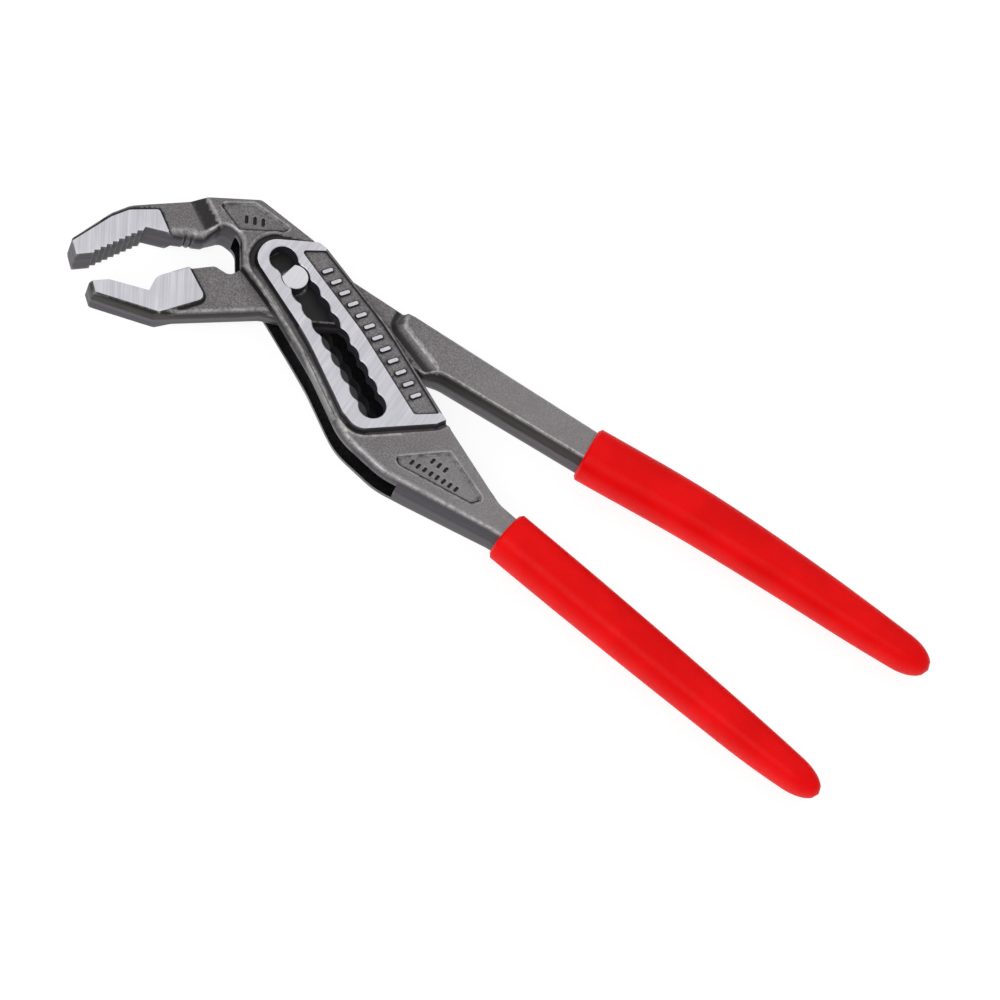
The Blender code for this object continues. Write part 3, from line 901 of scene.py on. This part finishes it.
def red_pvc():
    """Dipped PVC: satin, with a fine orange-peel skin."""
    net = Net("red_pvc")
    place = net.place()
    peel = net.noise(place, 1.0, 2.0, 0.5)
    fine = net.noise(place, 0.45, 2.0, 0.5)
    cloud = net.noise(place, 14.0, 2.0, 0.5)
    colour = net.mix(net.band(cloud, 0.35, 0.7), (0.76, 0.0015, 0.002, 1.0), (0.86, 0.003, 0.004, 1.0))
    colour = net.mix(net.band(fine, 0.45, 0.75, 0.0, 0.25), colour, (0.62, 0.001, 0.001, 1.0))
    # Darker red in hollows: dirt and painted shade.
    colour = net.mix(net.band(net.layer("grime_and_shade"), 0.1, 0.6, 0.0, 0.6), colour, (0.25, 0.002, 0.002, 1.0))
    skin = net.sum("ADD", peel, net.sum("MULTIPLY", fine, 0.5))
    net.bump(skin, 0.06, 0.6)
    net.shader.inputs["Specular IOR Level"].default_value = 0.07
    return net.finish(colour, net.band(peel, 0.3, 0.7, 0.36, 0.46))


FORGED = forged_steel()
# The sides are painted darker as shade; on the tongue arm the upper half is darker still.
SIDE = side_steel("side_steel", (0.050, 0.044, 0.055, 1.0), 0.08)
TONGUE_SIDE = side_steel("tongue_side_steel", (0.026, 0.022, 0.020, 1.0), 0.2)
GROUND_JAW = ground_steel("ground_jaw_steel", -66.0)
GROUND_BOX = ground_steel("ground_box_steel", 84.0)
CHANNEL = channel_steel()
GROOVE = groove_steel()
PVC = red_pvc()


# The slotted arm.

PAD_LOOP = trace(UPPER_PAD)
BOSS_LOOP = trace(BOSS)
STRIP_LOOP = trace(STRIP)
UPPER_PANEL_LOOP = trace(UPPER_PANEL, 0.3)
LOWER_PANEL_LOOP = trace(LOWER_PANEL, 0.3)
CAVITY_LOOP = trace(CAVITY, 0.6)
GROOVE_LOOP = groove_loop()


def strip_bars():
    """Outlines of the row of raised bars in the strip."""
    start, end = np.array([6.6, 6.1]), np.array([42.3, -14.9])
    direction = end - start
    angle = math.atan2(direction[1], direction[0]) + math.radians(80)
    bars = []
    for k in range(BAR_COUNT):
        share = k / (BAR_COUNT - 1)
        sag = 0.6 * (1 - (2 * share - 1) ** 2)
        centre = start + direction * share + sag * np.array([0.5, 0.87])
        bars.append(bar(centre, angle, 3.3, 1.35))
    return bars


def panel_bars():
    """Outlines of the small sunk bars in the two panels."""
    bars = []
    for k in range(3):
        bars.append(bar((-18.6 + 2.1 * k, 9.3 + 0.75 * k), math.radians(112), 2.3, 0.7))
    for k in range(3):
        bars.append(bar((54.2 + 2.0 * k, -29.0 - 0.25 * k), math.radians(75), 1.7, 0.6))
    for k in range(8):
        bars.append(bar((49.6 + 1.9 * k, -32.2 - 0.12 * k), math.radians(75), 1.6, 0.6))
    return bars


STRIP_BARS = strip_bars()
PANEL_BARS = panel_bars()


def slotted_rim():
    """The slotted arm's outline with its teeth."""
    dx, dy = TEETH_END[0] - TEETH_START[0], TEETH_END[1] - TEETH_START[1]
    length = math.hypot(dx, dy)
    ux, uy = dx / length, dy / length
    corners = list(SLOTTED_RIM)
    for i in range(TEETH_COUNT):
        tip = length * i / (TEETH_COUNT - 1)
        corners.append((TEETH_START[0] + ux * tip, TEETH_START[1] + uy * tip, 0.0, 0.05, 0.0))
        if i < TEETH_COUNT - 1:
            root = tip + 0.72 * length / (TEETH_COUNT - 1)
            x = TEETH_START[0] + ux * root + uy * TOOTH_DEPTH
            y = TEETH_START[1] + uy * root - ux * TOOTH_DEPTH
            corners.append((x, y, 0.0, 0.05, 0.0))
    return trace(corners, 0.36)


def sunk(height, points, loop, depth, wall, lip=0.0):
    """Height lowered inside a loop, over a wall of the given width."""
    away, _, _ = field(points, loop, 2.0)
    height = height - depth * smooth(-away / wall)
    if lip:
        height = height + lip * np.exp(-(((away - 0.35) / 0.28) ** 2))
    return height


def raised(height, points, loops, rise, wall):
    """Height raised on small bars, or sunk where rise is negative."""
    low, high = np.vstack(loops).min(0) - 1, np.vstack(loops).max(0) + 1
    near = np.flatnonzero(((points > low) & (points < high)).all(1))
    best = np.full(len(near), 9.0)
    for loop in loops:
        close = np.abs(points[near] - loop.mean(0)).max(1) < 3.5
        away, _, _ = field(points[near][close], loop)
        best[close] = np.minimum(best[close], away)
    height = height.copy()
    height[near] += rise * smooth(1 - (best + wall) / wall)
    return height


def ditch_width(travel, across):
    """Width of the ditch round the ground box face: narrow above and at the handle end."""
    width = 1.75 - 1.15 * smooth((across - 2.0) / 7.0)
    return np.where(travel > 40.0, 1.1, width)


def slotted_height(points, depth, edge):
    """Half thickness of the slotted arm at each point."""
    x, y = points[:, 0], points[:, 1]
    forged = np.minimum(FORGED_HALF, FORGED_HALF + 0.1 - 1.45 * (x - 50.0) / 46.0)
    ramp = JAW_HALF + (points @ RAMP_DIR - RAMP_FOOT) * RAMP_RISE
    ramp = ramp + 2.0 * np.maximum(0.0, 0.780 * x - 0.625 * y + 17.0)
    forged = soft_min(forged, soft_max(ramp, JAW_HALF, 0.12), 0.12)
    tang = smooth((x - 83.6) / 0.8)
    forged = forged * (1 - tang) + TANG_HALF * tang

    boss, _, _ = field(points, BOSS_LOOP, 5.0)
    across = points @ ACROSS
    travel = points @ SLIDE
    width = ditch_width(travel, across)
    ditch = smooth((width + 0.5 - boss) / 0.6)
    bead_here = np.maximum(1 - smooth((across - 1.0) / 3.0), smooth((travel - 38.0) / 3.0))
    bead = 0.30 * np.exp(-(((boss - width - 0.75) / 0.42) ** 2)) * bead_here
    around = forged - 0.55 * ditch * (travel > -22.0) + bead
    around = around - rounding(depth, edge)

    top = TOTAL_HALF - rounding(depth, 0.25) - 3.2 * np.maximum(0.0, boss)
    top = sunk(top, points, STRIP_LOOP, 0.62, 0.22)
    top = raised(top, points, STRIP_BARS, 0.5, 0.16)
    mouth, _, _ = field(points, GROOVE_LOOP, 1.0)
    top = top - 0.16 * smooth(1 - mouth / 0.2)
    height = np.maximum(around, top)

    pad, _, _ = field(points, PAD_LOOP, 4.0)
    face = PAD_HALF - rounding(depth, 0.06) - 1.9 * np.maximum(0.0, pad)
    height = np.maximum(height, np.where(x < -30.0, face, 0.0))
    height = sunk(height, points, UPPER_PANEL_LOOP, 0.6, 0.35, 0.10)
    height = sunk(height, points, LOWER_PANEL_LOOP, 0.6, 0.35, 0.10)
    return raised(height, points, PANEL_BARS, -0.25, 0.16)


# Directions for painted shade: walls facing these ways are darkened; on the panels the walls facing away get
# painted highlight.
FACING_LEFT_DOWN = np.array([-0.30, -0.95])
FACING_LEFT_UP = np.array([-0.75, 0.66])


def facing(points, loop, direction, reach=3.0):
    """Distance from a loop, and how far its nearest side looks along a direction."""
    away, segment, share = field(points, loop, reach)
    return away, along(outward(loop), segment, share) @ direction


def line_at(value, width):
    """1 on a line and 0 beyond about twice its half width."""
    return np.exp(-((value / width) ** 2))


def slotted_paint(points, depth, edge):
    """Rubbing and painted highlight on ridges, and painted shade in the corners and on walls facing down and
    left, of the slotted arm.
    """
    x = points[:, 0]
    # Lighter line along the broadly rounded edges: rubbing and painted highlight.
    worn_and_lit = 0.45 * line_at(depth - 0.62 * edge, 0.28 * edge + 0.1) * smooth((edge - 0.7) / 0.5)
    # Dark line inside the finely rounded edges: painted shade.
    dirt_and_shade = 0.7 * line_at(depth - 0.05, 0.22) * (edge > 0.2) * (edge < 0.4)
    # Painted shade in the ditch round the box face, darkest where its wall faces up and left.
    boss, side = facing(points, BOSS_LOOP, FACING_LEFT_UP, 5.0)
    across = points @ ACROSS
    travel = points @ SLIDE
    width = ditch_width(travel, across)
    ditch = smooth((width + 0.35 - boss) / 0.7) * (boss > 0.0)
    dirt_and_shade = np.maximum(dirt_and_shade, ditch * (0.26 + 0.74 * smooth(1.4 * side + 0.2)))
    # Lighter line on the bead beside the ditch: rubbing and painted highlight.
    worn_and_lit = np.maximum(worn_and_lit, 0.6 * line_at(boss - width - 0.75, 0.36) * (across < 3.0))
    # Painted shade in a band round the upper jaw's ground face.
    pad, _ = facing(points, PAD_LOOP, FACING_LEFT_UP)
    dirt_and_shade = np.maximum(dirt_and_shade, 0.9 * smooth(1.2 - pad / 0.6) * (pad > 0.0) * (x < -30.0))
    # Painted shade on the panel walls facing down and left, painted highlight on the others.
    for loop in (UPPER_PANEL_LOOP, LOWER_PANEL_LOOP):
        away, side = facing(points, loop, FACING_LEFT_DOWN)
        shade = smooth(0.55 + 1.4 * side)
        dirt_and_shade = np.maximum(dirt_and_shade, shade * smooth(1.5 - np.abs(away + 0.2) / 0.34))
        worn_and_lit = np.maximum(worn_and_lit, 0.55 * (1 - shade) * line_at(away + 0.1, 0.4))
    # Painted shade along the strip's edge, strongest where it faces down and left.
    away, side = facing(points, STRIP_LOOP, FACING_LEFT_DOWN)
    dirt_and_shade = np.maximum(dirt_and_shade, (0.35 + 0.65 * smooth(0.5 + side)) * line_at(away + 0.12, 0.3))
    # Painted shade round the raised bars and inside the sunk ones.
    for loops, strength in ((STRIP_BARS, 0.7), (PANEL_BARS, 0.85)):
        for loop in loops:
            near = np.flatnonzero(np.abs(points - loop.mean(0)).max(1) < 3.0)
            away, _, _ = field(points[near], loop)
            shade = line_at(away - 0.05, 0.2) if loops is STRIP_BARS else smooth(1 - away / 0.25)
            dirt_and_shade[near] = np.maximum(dirt_and_shade[near], strength * shade)
    # Lighter line on the ramp's upper ridge (rubbing and painted highlight), and painted shade on the ramp's
    # facet.
    head = (points @ RAMP_DIR) - RAMP_FOOT
    inside = 0.780 * x - 0.625 * points[:, 1] < -17.0
    worn_and_lit = np.maximum(worn_and_lit, 0.5 * line_at(head - 4.3, 0.4) * inside)
    dirt_and_shade = np.maximum(dirt_and_shade, 0.45 * smooth((head + 0.2) / 0.6) * smooth((4.1 - head) / 0.5) * inside)
    return np.clip(worn_and_lit, 0, 1), np.clip(dirt_and_shade, 0, 1)


SLOT_FORGED, SLOT_SIDE, SLOT_JAW, SLOT_BOX, SLOT_CHANNEL, SLOT_GROOVE = range(6)


def build_slotted_arm():
    """The outer forging with its groove and box."""
    creases = [
        (PAD_LOOP, (-0.12, 0.0, 0.14, 0.3)),
        (BOSS_LOOP, (-0.15, 0.0, 0.18, 0.36, 0.55, 0.9, 1.3, 1.7, 2.1, 2.5, 2.9, 3.3)),
        (STRIP_LOOP, (0.1, 0.0, -0.11, -0.22, -0.4)),
        (GROOVE_LOOP, (-0.25, 0.03, 0.11, 0.2)),
        (UPPER_PANEL_LOOP, (0.75, 0.35, 0.0, -0.18, -0.35, -0.6)),
        (LOWER_PANEL_LOOP, (0.75, 0.35, 0.0, -0.18, -0.35, -0.6)),
    ]
    creases += [(loop, (0.22, 0.0, -0.16)) for loop in STRIP_BARS + PANEL_BARS]
    for shift in (RAMP_FOOT - 0.2, RAMP_FOOT + 0.2, RAMP_FOOT + 4.0, RAMP_FOOT + 4.4):
        across = np.array([-RAMP_DIR[1], RAMP_DIR[0]])
        line = [RAMP_DIR * shift + across * t for t in np.arange(16.0, 34.0, STEP)]
        creases.append((np.array(line), (0.0,)))
    arm = relief("slotted_arm_steel", slotted_rim(), creases, slotted_height, slotted_paint)
    carve(
        arm,
        slab("cavity_tool", CAVITY_LOOP, -CAVITY_HALF, CAVITY_HALF),
        slab("groove_tool", GROOVE_LOOP, -12.0, 12.0),
    )
    centre, normal = faces_of(arm.data)
    flat = centre[:, :2]
    level = np.abs(normal[:, 2])
    lift = np.abs(centre[:, 2] - MID)
    slot = np.full(len(centre), SLOT_FORGED)
    slot[level < 0.4] = SLOT_SIDE
    x, y = flat[:, 0], flat[:, 1]
    # The cheek's side wall over the cavity takes the near-black channel steel: painted shade.
    slot[(level < 0.4) & (x > -16.8) & (x < 7.0) & (y < 3.0) & (lift > CAVITY_HALF)] = SLOT_CHANNEL
    boss, _, _ = field(flat, BOSS_LOOP, 1.0)
    strip, side = facing(flat, STRIP_LOOP, np.array([0.56, 0.83]), 1.5)
    rim = (strip > 0) & (strip < 1.2) & (side > 0.8)
    slot[(level > 0.45) & (lift > TOTAL_HALF - 0.3) & (boss < 0.02) & ~rim] = SLOT_BOX
    pad, _, _ = field(flat, PAD_LOOP, 1.0)
    slot[(level > 0.9) & (lift > PAD_HALF - 0.06) & (pad < 0.02) & (x < -30)] = SLOT_JAW
    cavity, _, _ = field(flat, CAVITY_LOOP, 1.0)
    # Inside the cavity the steel is painted near black as shade.
    slot[(lift < CAVITY_HALF + 0.01) & (cavity < 0.02) & (level > 0.9)] = SLOT_CHANNEL
    slot[(lift < CAVITY_HALF) & (np.abs(cavity) < 0.02) & (level < 0.1)] = SLOT_CHANNEL
    groove, _, _ = field(flat, GROOVE_LOOP, 1.0)
    # The groove's wall takes the dark groove steel: painted shade.
    slot[(np.abs(groove) < 0.03) & (level < 0.2)] = SLOT_GROOVE
    mark_curvature(arm)
    assign(arm, (FORGED, SIDE, GROUND_JAW, GROUND_BOX, CHANNEL, GROOVE), slot)
    finish_mesh(arm)
    return arm


# The tongue arm.

LOWER_PAD_LOOP = trace(LOWER_PAD)
RIDGE_LOOP = trace(HANDLE_RIDGE)
# The bevel under the lower jaw: a point on its edge, and the direction out of it.
CHIN_AT = np.array([-7.6, -14.9])
CHIN = np.array([0.550, -0.835])


def tongue_height(points, depth, edge):
    """Half thickness of the tongue arm at each point."""
    x, y = points[:, 0], points[:, 1]
    forged = np.full(len(points), TONGUE_HALF)
    belly = (points - CHIN_AT) @ CHIN
    slope = 0.8 * np.maximum(0.0, belly + 0.9) * (x < 4.0) * (x > -40.0)
    forged = forged - np.minimum(slope, 0.8)
    forged = forged - rounding(depth, edge)

    ridge, _, _ = field(points, RIDGE_LOOP, 6.0)
    fall = 0.66 + 1.4 * smooth((y - 2.6) / 1.6)
    handle = HANDLE_HALF - rounding(depth, edge) - fall * np.maximum(0.0, ridge)
    tang = smooth((x - 92.8) / 0.7)
    handle = handle * (1 - tang) + (TANG_HALF - rounding(depth, edge)) * tang
    height = soft_max(forged, np.where(x > 20.0, handle, 0.0), 0.3)

    pad, _, _ = field(points, LOWER_PAD_LOOP, 4.0)
    face = PAD_HALF - rounding(depth, 0.06) - 1.5 * np.maximum(0.0, pad)
    return soft_max(height, np.where(x < -10.0, face, 0.0), 0.5)


def tongue_paint(points, depth, edge):
    """Rubbing and painted highlight on ridges, painted shade in the corners, and the box's painted shadow on
    the tongue arm.
    """
    x = points[:, 0]
    ridge, _, _ = field(points, RIDGE_LOOP, 5.0)
    # Lighter lines on the handle's ridge, edges and belly: rubbing and painted highlight.
    worn_and_lit = 0.8 * line_at(ridge + 0.1, 0.32) * (x > 26.0)
    worn_and_lit = np.maximum(worn_and_lit, 0.7 * line_at(depth - 0.3, 0.28) * (x > 40.0) * (x < 94.0))
    # Painted shade on the slope past the handle's ridge and along its upper edge.
    dirt_and_shade = 0.5 * smooth(ridge / 2.6) * smooth((3.5 - ridge) / 0.5) * (x > 24.0)
    dirt_and_shade = np.maximum(dirt_and_shade, 0.6 * line_at(depth - 0.12, 0.2) * (points[:, 1] > -1.0) * (x > 20.0))
    belly = (points - CHIN_AT) @ CHIN
    worn_and_lit = np.maximum(worn_and_lit, 0.6 * line_at(belly + 1.0, 0.3) * (x < 4.0) * (x > -27.0))
    # Painted shade in a band round the lower jaw's ground face.
    pad, _, _ = field(points, LOWER_PAD_LOOP, 3.0)
    dirt_and_shade = np.maximum(dirt_and_shade, 0.95 * smooth(1.25 - pad / 1.1) * (pad > 0.0) * (x < -10.0))
    # Painted shadow of the box: the tongue is darkened where the box covers it at rest, and stays dark when
    # the handle swings out.
    boss, _, _ = field(points, BOSS_LOOP, 3.0)
    across = points @ ACROSS
    box_shadow = 0.14 + 0.83 * smooth((across + 2.6) / 3.0)
    box_shadow = np.where(points @ SLIDE < 3.0, 0.97, box_shadow)
    dirt_and_shade = np.maximum(dirt_and_shade, box_shadow * smooth((0.8 - boss) / 1.5))
    return np.clip(worn_and_lit, 0, 1), np.clip(dirt_and_shade, 0, 1)


def build_tongue_arm():
    """The inner forging: lower jaw, tongue and upper handle."""
    creases = [
        (LOWER_PAD_LOOP, (-0.12, 0.0, 0.3, 0.6, 0.95, 1.3)),
        (RIDGE_LOOP, (-0.3, 0.0, 0.6, 1.4, 2.2, 2.9, 3.3)),
    ]
    side = np.array([-CHIN[1], CHIN[0]])
    for depth in (1.15, 0.75):
        line = [CHIN_AT - CHIN * depth + side * t for t in np.arange(-26.0, 14.0, STEP)]
        creases.append((np.array(line), (0.0,)))
    arm = relief("tongue_arm_steel", trace(TONGUE_RIM, 0.4), creases, tongue_height, tongue_paint)
    bore = np.array([(3.4 * math.cos(k * math.pi / 48), 3.4 * math.sin(k * math.pi / 48)) for k in range(96)])
    carve(arm, slab("bore_tool", bore, -12.0, 12.0))
    centre, normal = faces_of(arm.data)
    flat = centre[:, :2]
    level = np.abs(normal[:, 2])
    lift = np.abs(centre[:, 2] - MID)
    slot = np.full(len(centre), SLOT_FORGED)
    slot[level < 0.4] = SLOT_SIDE
    pad, _, _ = field(flat, LOWER_PAD_LOOP, 1.0)
    slot[(level > 0.9) & (lift > PAD_HALF - 0.06) & (pad < 0.02) & (flat[:, 0] < -15)] = SLOT_JAW
    mark_curvature(arm)
    assign(arm, (FORGED, TONGUE_SIDE, GROUND_JAW), slot)
    finish_mesh(arm)
    return arm


def build_pin():
    """The joint pin: round through the tongue, wider heads with one flat in the cheeks."""
    shape = bmesh.new()
    flat_turn = math.radians(163.0)
    flat_at = 2.45
    bevel = 0.14
    head, shank = 3.52, 3.25
    shoulder = CAVITY_HALF + 0.05

    def section(radius, z, trimmed):
        ring = []
        for k in range(120):
            a = 2 * math.pi * k / 120
            x, y = radius * math.cos(a), radius * math.sin(a)
            if trimmed:
                past = x * math.cos(flat_turn) + y * math.sin(flat_turn) - trimmed
                if past > 0:
                    x -= past * math.cos(flat_turn)
                    y -= past * math.sin(flat_turn)
                x, y = x - 0.08, y - 0.12
            ring.append(shape.verts.new((x * MM, y * MM, (MID + z) * MM)))
        return ring

    levels = [
        (head - bevel, -TOTAL_HALF, flat_at - bevel),
        (head, -TOTAL_HALF + bevel, flat_at),
        (head, -shoulder, flat_at),
        (shank, -shoulder, 0),
        (shank, shoulder, 0),
        (head, shoulder, flat_at),
        (head, TOTAL_HALF - bevel, flat_at),
        (head - bevel, TOTAL_HALF, flat_at - bevel),
    ]
    rings = [section(*level) for level in levels]
    for one, two in zip(rings, rings[1:]):
        for k in range(120):
            n = (k + 1) % 120
            shape.faces.new((one[k], one[n], two[n], two[k]))
    shape.faces.new(rings[0][::-1])
    shape.faces.new(rings[-1])
    data = bpy.data.meshes.new("joint_pin_steel")
    bmesh.ops.dissolve_degenerate(shape, dist=1e-7, edges=shape.edges)
    bmesh.ops.recalc_face_normals(shape, faces=shape.faces)
    shape.to_mesh(data)
    shape.free()
    pin = bpy.data.objects.new("joint_pin_steel", data)
    bpy.context.scene.collection.objects.link(pin)
    mark_curvature(pin, 1)
    _, normal = faces_of(data)
    # The pin's sides take the dark groove steel: painted shade.
    assign(pin, (GROUND_BOX, GROOVE), (np.abs(normal[:, 2]) < 0.4).astype(int))
    finish_mesh(pin)
    return pin


def curve_through(rows, count):
    """Points on a smooth curve through rows of (x, y, size), evenly spread."""
    rows = np.array(rows, float)
    travel = np.append(0, np.cumsum(np.hypot(*np.diff(rows[:, :2], axis=0).T)))
    fine = np.linspace(0, travel[-1], 600)
    tangent = np.gradient(rows, travel, axis=0)
    made = []
    for t in fine:
        i = min(np.searchsorted(travel, t, "right") - 1, len(rows) - 2)
        span = travel[i + 1] - travel[i]
        u = (t - travel[i]) / span
        a = (1 + 2 * u) * (1 - u) ** 2
        b = u * (1 - u) ** 2 * span
        c = u * u * (3 - 2 * u)
        d = u * u * (u - 1) * span
        made.append(a * rows[i] + b * tangent[i] + c * rows[i + 1] + d * tangent[i + 1])
    made = np.array(made)
    stops = np.linspace(0, travel[-1], count)
    return stops, np.column_stack([np.interp(stops, fine, made[:, k]) for k in range(3)])


def grip_rings(line, sides, dome):
    """Cross sections of a dipped sleeve from its mouth to its tip."""
    stops, rows = curve_through(line, 150)
    total = stops[-1]
    heading = np.gradient(rows[:, :2], stops, axis=0)
    heading /= np.hypot(*heading.T)[:, None]
    rings = []
    lip = 0.9
    for t, row, ahead in zip(stops, rows, heading):
        share = 1.0
        if t < lip:
            share = 1 - 0.11 * (1 - math.sqrt(max(0.0, 1 - (1 - t / lip) ** 2)))
        left = total - t
        if left < dome:
            share *= math.sqrt(max(0.0, 1 - (1 - left / dome) ** 2.3)) ** 0.9
        nub = 1.15 * math.sqrt(max(0.0, min(1.0, (left + 0.02) / 1.6)))
        wide = max(row[2] * share, nub)
        tall = max((2.2 + 0.672 * row[2]) * share, nub)
        ring = []
        for k in range(sides):
            a = 2 * math.pi * (k + 0.5) / sides
            power = 2 / (2.0 + 0.55 * share)
            c = math.copysign(abs(math.cos(a)) ** power, math.cos(a)) * wide
            s = math.copysign(abs(math.sin(a)) ** power, math.sin(a)) * tall
            ring.append((row[0] - ahead[1] * c, row[1] + ahead[0] * c, MID + s))
        rings.append(ring)
    return rings


def tube(name, rings):
    """A closed body through rings of points."""
    sides = len(rings[0])
    faces = [tuple(range(sides))[::-1]]
    for i in range(len(rings) - 1):
        for k in range(sides):
            n = (k + 1) % sides
            faces.append((i * sides + k, i * sides + n, (i + 1) * sides + n, (i + 1) * sides + k))
    last = (len(rings) - 1) * sides
    faces.append(tuple(range(last, last + sides)))
    obj = new_piece(name, np.array([p for ring in rings for p in ring]), faces)
    shape = bmesh.new()
    shape.from_mesh(obj.data)
    bmesh.ops.recalc_face_normals(shape, faces=shape.faces)
    bmesh.ops.triangulate(shape, faces=[f for f in shape.faces if len(f.verts) > 4])
    shape.to_mesh(obj.data)
    shape.free()
    return obj


def core_tool(name, start, end, half, tall, corner):
    """A bar with rounded long edges, used to hollow a grip round its steel."""
    start, end = np.array(start), np.array(end)
    ahead = (end - start) / np.hypot(*(end - start))
    side = np.array([-ahead[1], ahead[0]])
    rings = []
    for place, (low, high) in ((start, half[0]), (end, half[1])):
        ring = []
        for cx, cz, a0 in ((high, tall, 0), (low, tall, 90), (low, -tall, 180), (high, -tall, 270)):
            for k in range(6):
                a = math.radians(a0 + 18 * k)
                u = cx - math.copysign(corner, cx) + corner * math.cos(a)
                v = cz - math.copysign(corner, cz) + corner * math.sin(a)
                ring.append((*(place + side * u), MID + v))
        rings.append(ring)
    return tube(name, rings)


def build_grip(name, line, cores):
    """A red dipped sleeve, hollow where the steel runs into it."""
    grip = tube(name, grip_rings(line, 72, 9.0))
    carve(grip, *cores)
    mark_curvature(grip, 2)
    assign(grip, (PVC,), np.zeros(len(grip.data.polygons)))
    finish_mesh(grip, 40)
    return grip


slotted_arm = build_slotted_arm()
tongue_arm = build_tongue_arm()
joint_pin = build_pin()

lower_cores = (
    core_tool("lower_mouth_tool", (76.0, -34.9), (84.4, -37.0), ((-4.6, 4.3), (-3.95, 3.85)), 5.12, 1.3),
    core_tool("lower_tang_tool", (80.0, -35.9), (159.8, -55.4), ((-3.3, 3.1), (-3.0, 3.0)), 3.62, 1.1),
)
upper_cores = (
    core_tool("upper_mouth_tool", (85.0, -2.7), (93.9, -3.05), ((-4.9, 4.95), (-4.85, 4.75)), 5.18, 1.3),
    core_tool("upper_tang_tool", (89.0, -2.7), (169.2, -9.3), ((-3.7, 3.9), (-3.0, 3.0)), 3.62, 1.1),
)
slotted_grip = build_grip("slotted_arm_grip_pvc", LOWER_GRIP_LINE, lower_cores)
tongue_grip = build_grip("tongue_arm_grip_pvc", UPPER_GRIP_LINE, upper_cores)

PIECES = (
    (slotted_arm, "slotted_arm", "slotted_arm", "forged_steel"),
    (tongue_arm, "tongue_arm", "tongue_arm", "forged_steel"),
    (joint_pin, "joint_pin", "joint_pin", "pin_steel"),
    (slotted_grip, "slotted_arm_grip", "slotted_arm", "red_pvc"),
    (tongue_grip, "tongue_arm_grip", "tongue_arm", "red_pvc"),
)
for piece, node, body, slot in PIECES:
    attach(piece, body)
    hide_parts(node)


# Floor, light and camera. Lengths here are in metres.


def build_floor():
    """A pale floor just under the rear face.

    Its glow keeps it white, and stops beneath the groove, where the box would shade a real floor.
    """
    data = bpy.data.meshes.new("floor")
    size = 3.0
    corners = [(-size, -size, 0), (size, -size, 0), (size, size, 0), (-size, size, 0)]
    data.from_pydata(corners, [], [(0, 1, 2, 3)])
    floor = bpy.data.objects.new("floor", data)
    floor.location.z = -0.0003
    bpy.context.scene.collection.objects.link(floor)
    net = Net("floor_paint", roughness=0.9)
    net.shader.inputs["Specular IOR Level"].default_value = 0.1
    speck = net.noise(net.place(), 40.0, 2.0, 0.5)
    paint = net.mix(net.band(speck, 0.3, 0.7), grey(0.20), grey(0.21))
    spot = net.add("ShaderNodeSeparateXYZ")
    net.feed(net.place(SLIDE_TURN), spot.inputs[0])
    middle, half_length, half_width = 18.0, 28.0, 5.5
    lengthways = net.sum("ABSOLUTE", net.sum("SUBTRACT", spot.outputs["X"], middle), 0.0)
    past = net.sum("SUBTRACT", lengthways, half_length)
    beside = net.sum("ABSOLUTE", net.sum("ADD", spot.outputs["Y"], 0.5), 0.0)
    lit = net.sum("MAXIMUM", net.band(past, 0.0, 2.0), net.band(beside, half_width, half_width + 1.5))
    net.feed(grey(1.0), net.shader.inputs["Emission Color"])
    net.feed(net.band(lit, 0.0, 1.0, 0.0, 0.86), net.shader.inputs["Emission Strength"])
    data.materials.append(net.finish(paint))


def soft_light(name, place, aim, size, power):
    """A square area lamp aimed at a point."""
    lamp = bpy.data.lights.new(name, "AREA")
    lamp.size = size
    lamp.energy = power
    obj = bpy.data.objects.new(name, lamp)
    obj.location = place
    obj.rotation_mode = "QUATERNION"
    obj.rotation_quaternion = (Vector(aim) - Vector(place)).to_track_quat("-Z", "Y")
    bpy.context.scene.collection.objects.link(obj)


CENTRE = Vector((0.0735, -0.0305, TOTAL_HALF * 2 * MM))


def build_studio():
    """Soft light from above and a long-lens camera with the photographer's tilt."""
    scene = bpy.context.scene
    world = bpy.data.worlds.new("studio")
    world.use_nodes = True
    world.node_tree.nodes["Background"].inputs["Color"].default_value = (1.0, 1.0, 1.0, 1.0)
    world.node_tree.nodes["Background"].inputs["Strength"].default_value = 0.5
    scene.world = world
    scene.view_settings.view_transform = "Standard"
    soft_light("key", (-0.25, -0.75, 1.0), CENTRE, 0.8, 7.0)
    soft_light("top", (0.1, 0.55, 1.2), CENTRE, 1.2, 3.0)

    lens = bpy.data.cameras.new("camera")
    lens.lens = 209.0
    lens.clip_start = 0.1
    lens.clip_end = 20.0
    camera = bpy.data.objects.new("camera", lens)
    tilt, roll = math.radians(61.0), math.radians(27.6)
    back = Vector((0, -math.cos(tilt), math.sin(tilt)))
    right, up = Vector((1, 0, 0)), Vector((0, math.sin(tilt), math.cos(tilt)))
    turned_right = right * math.cos(roll) + up * math.sin(roll)
    turned_up = up * math.cos(roll) - right * math.sin(roll)
    turn = Matrix((turned_right, turned_up, back)).transposed().to_4x4()
    aim = CENTRE + turned_right * 0.00052 - turned_up * 0.00065
    camera.matrix_world = Matrix.Translation(aim + back * 1.5) @ turn
    scene.collection.objects.link(camera)
    scene.camera = camera


build_floor()
build_studio()

bpy.context.view_layer.update()
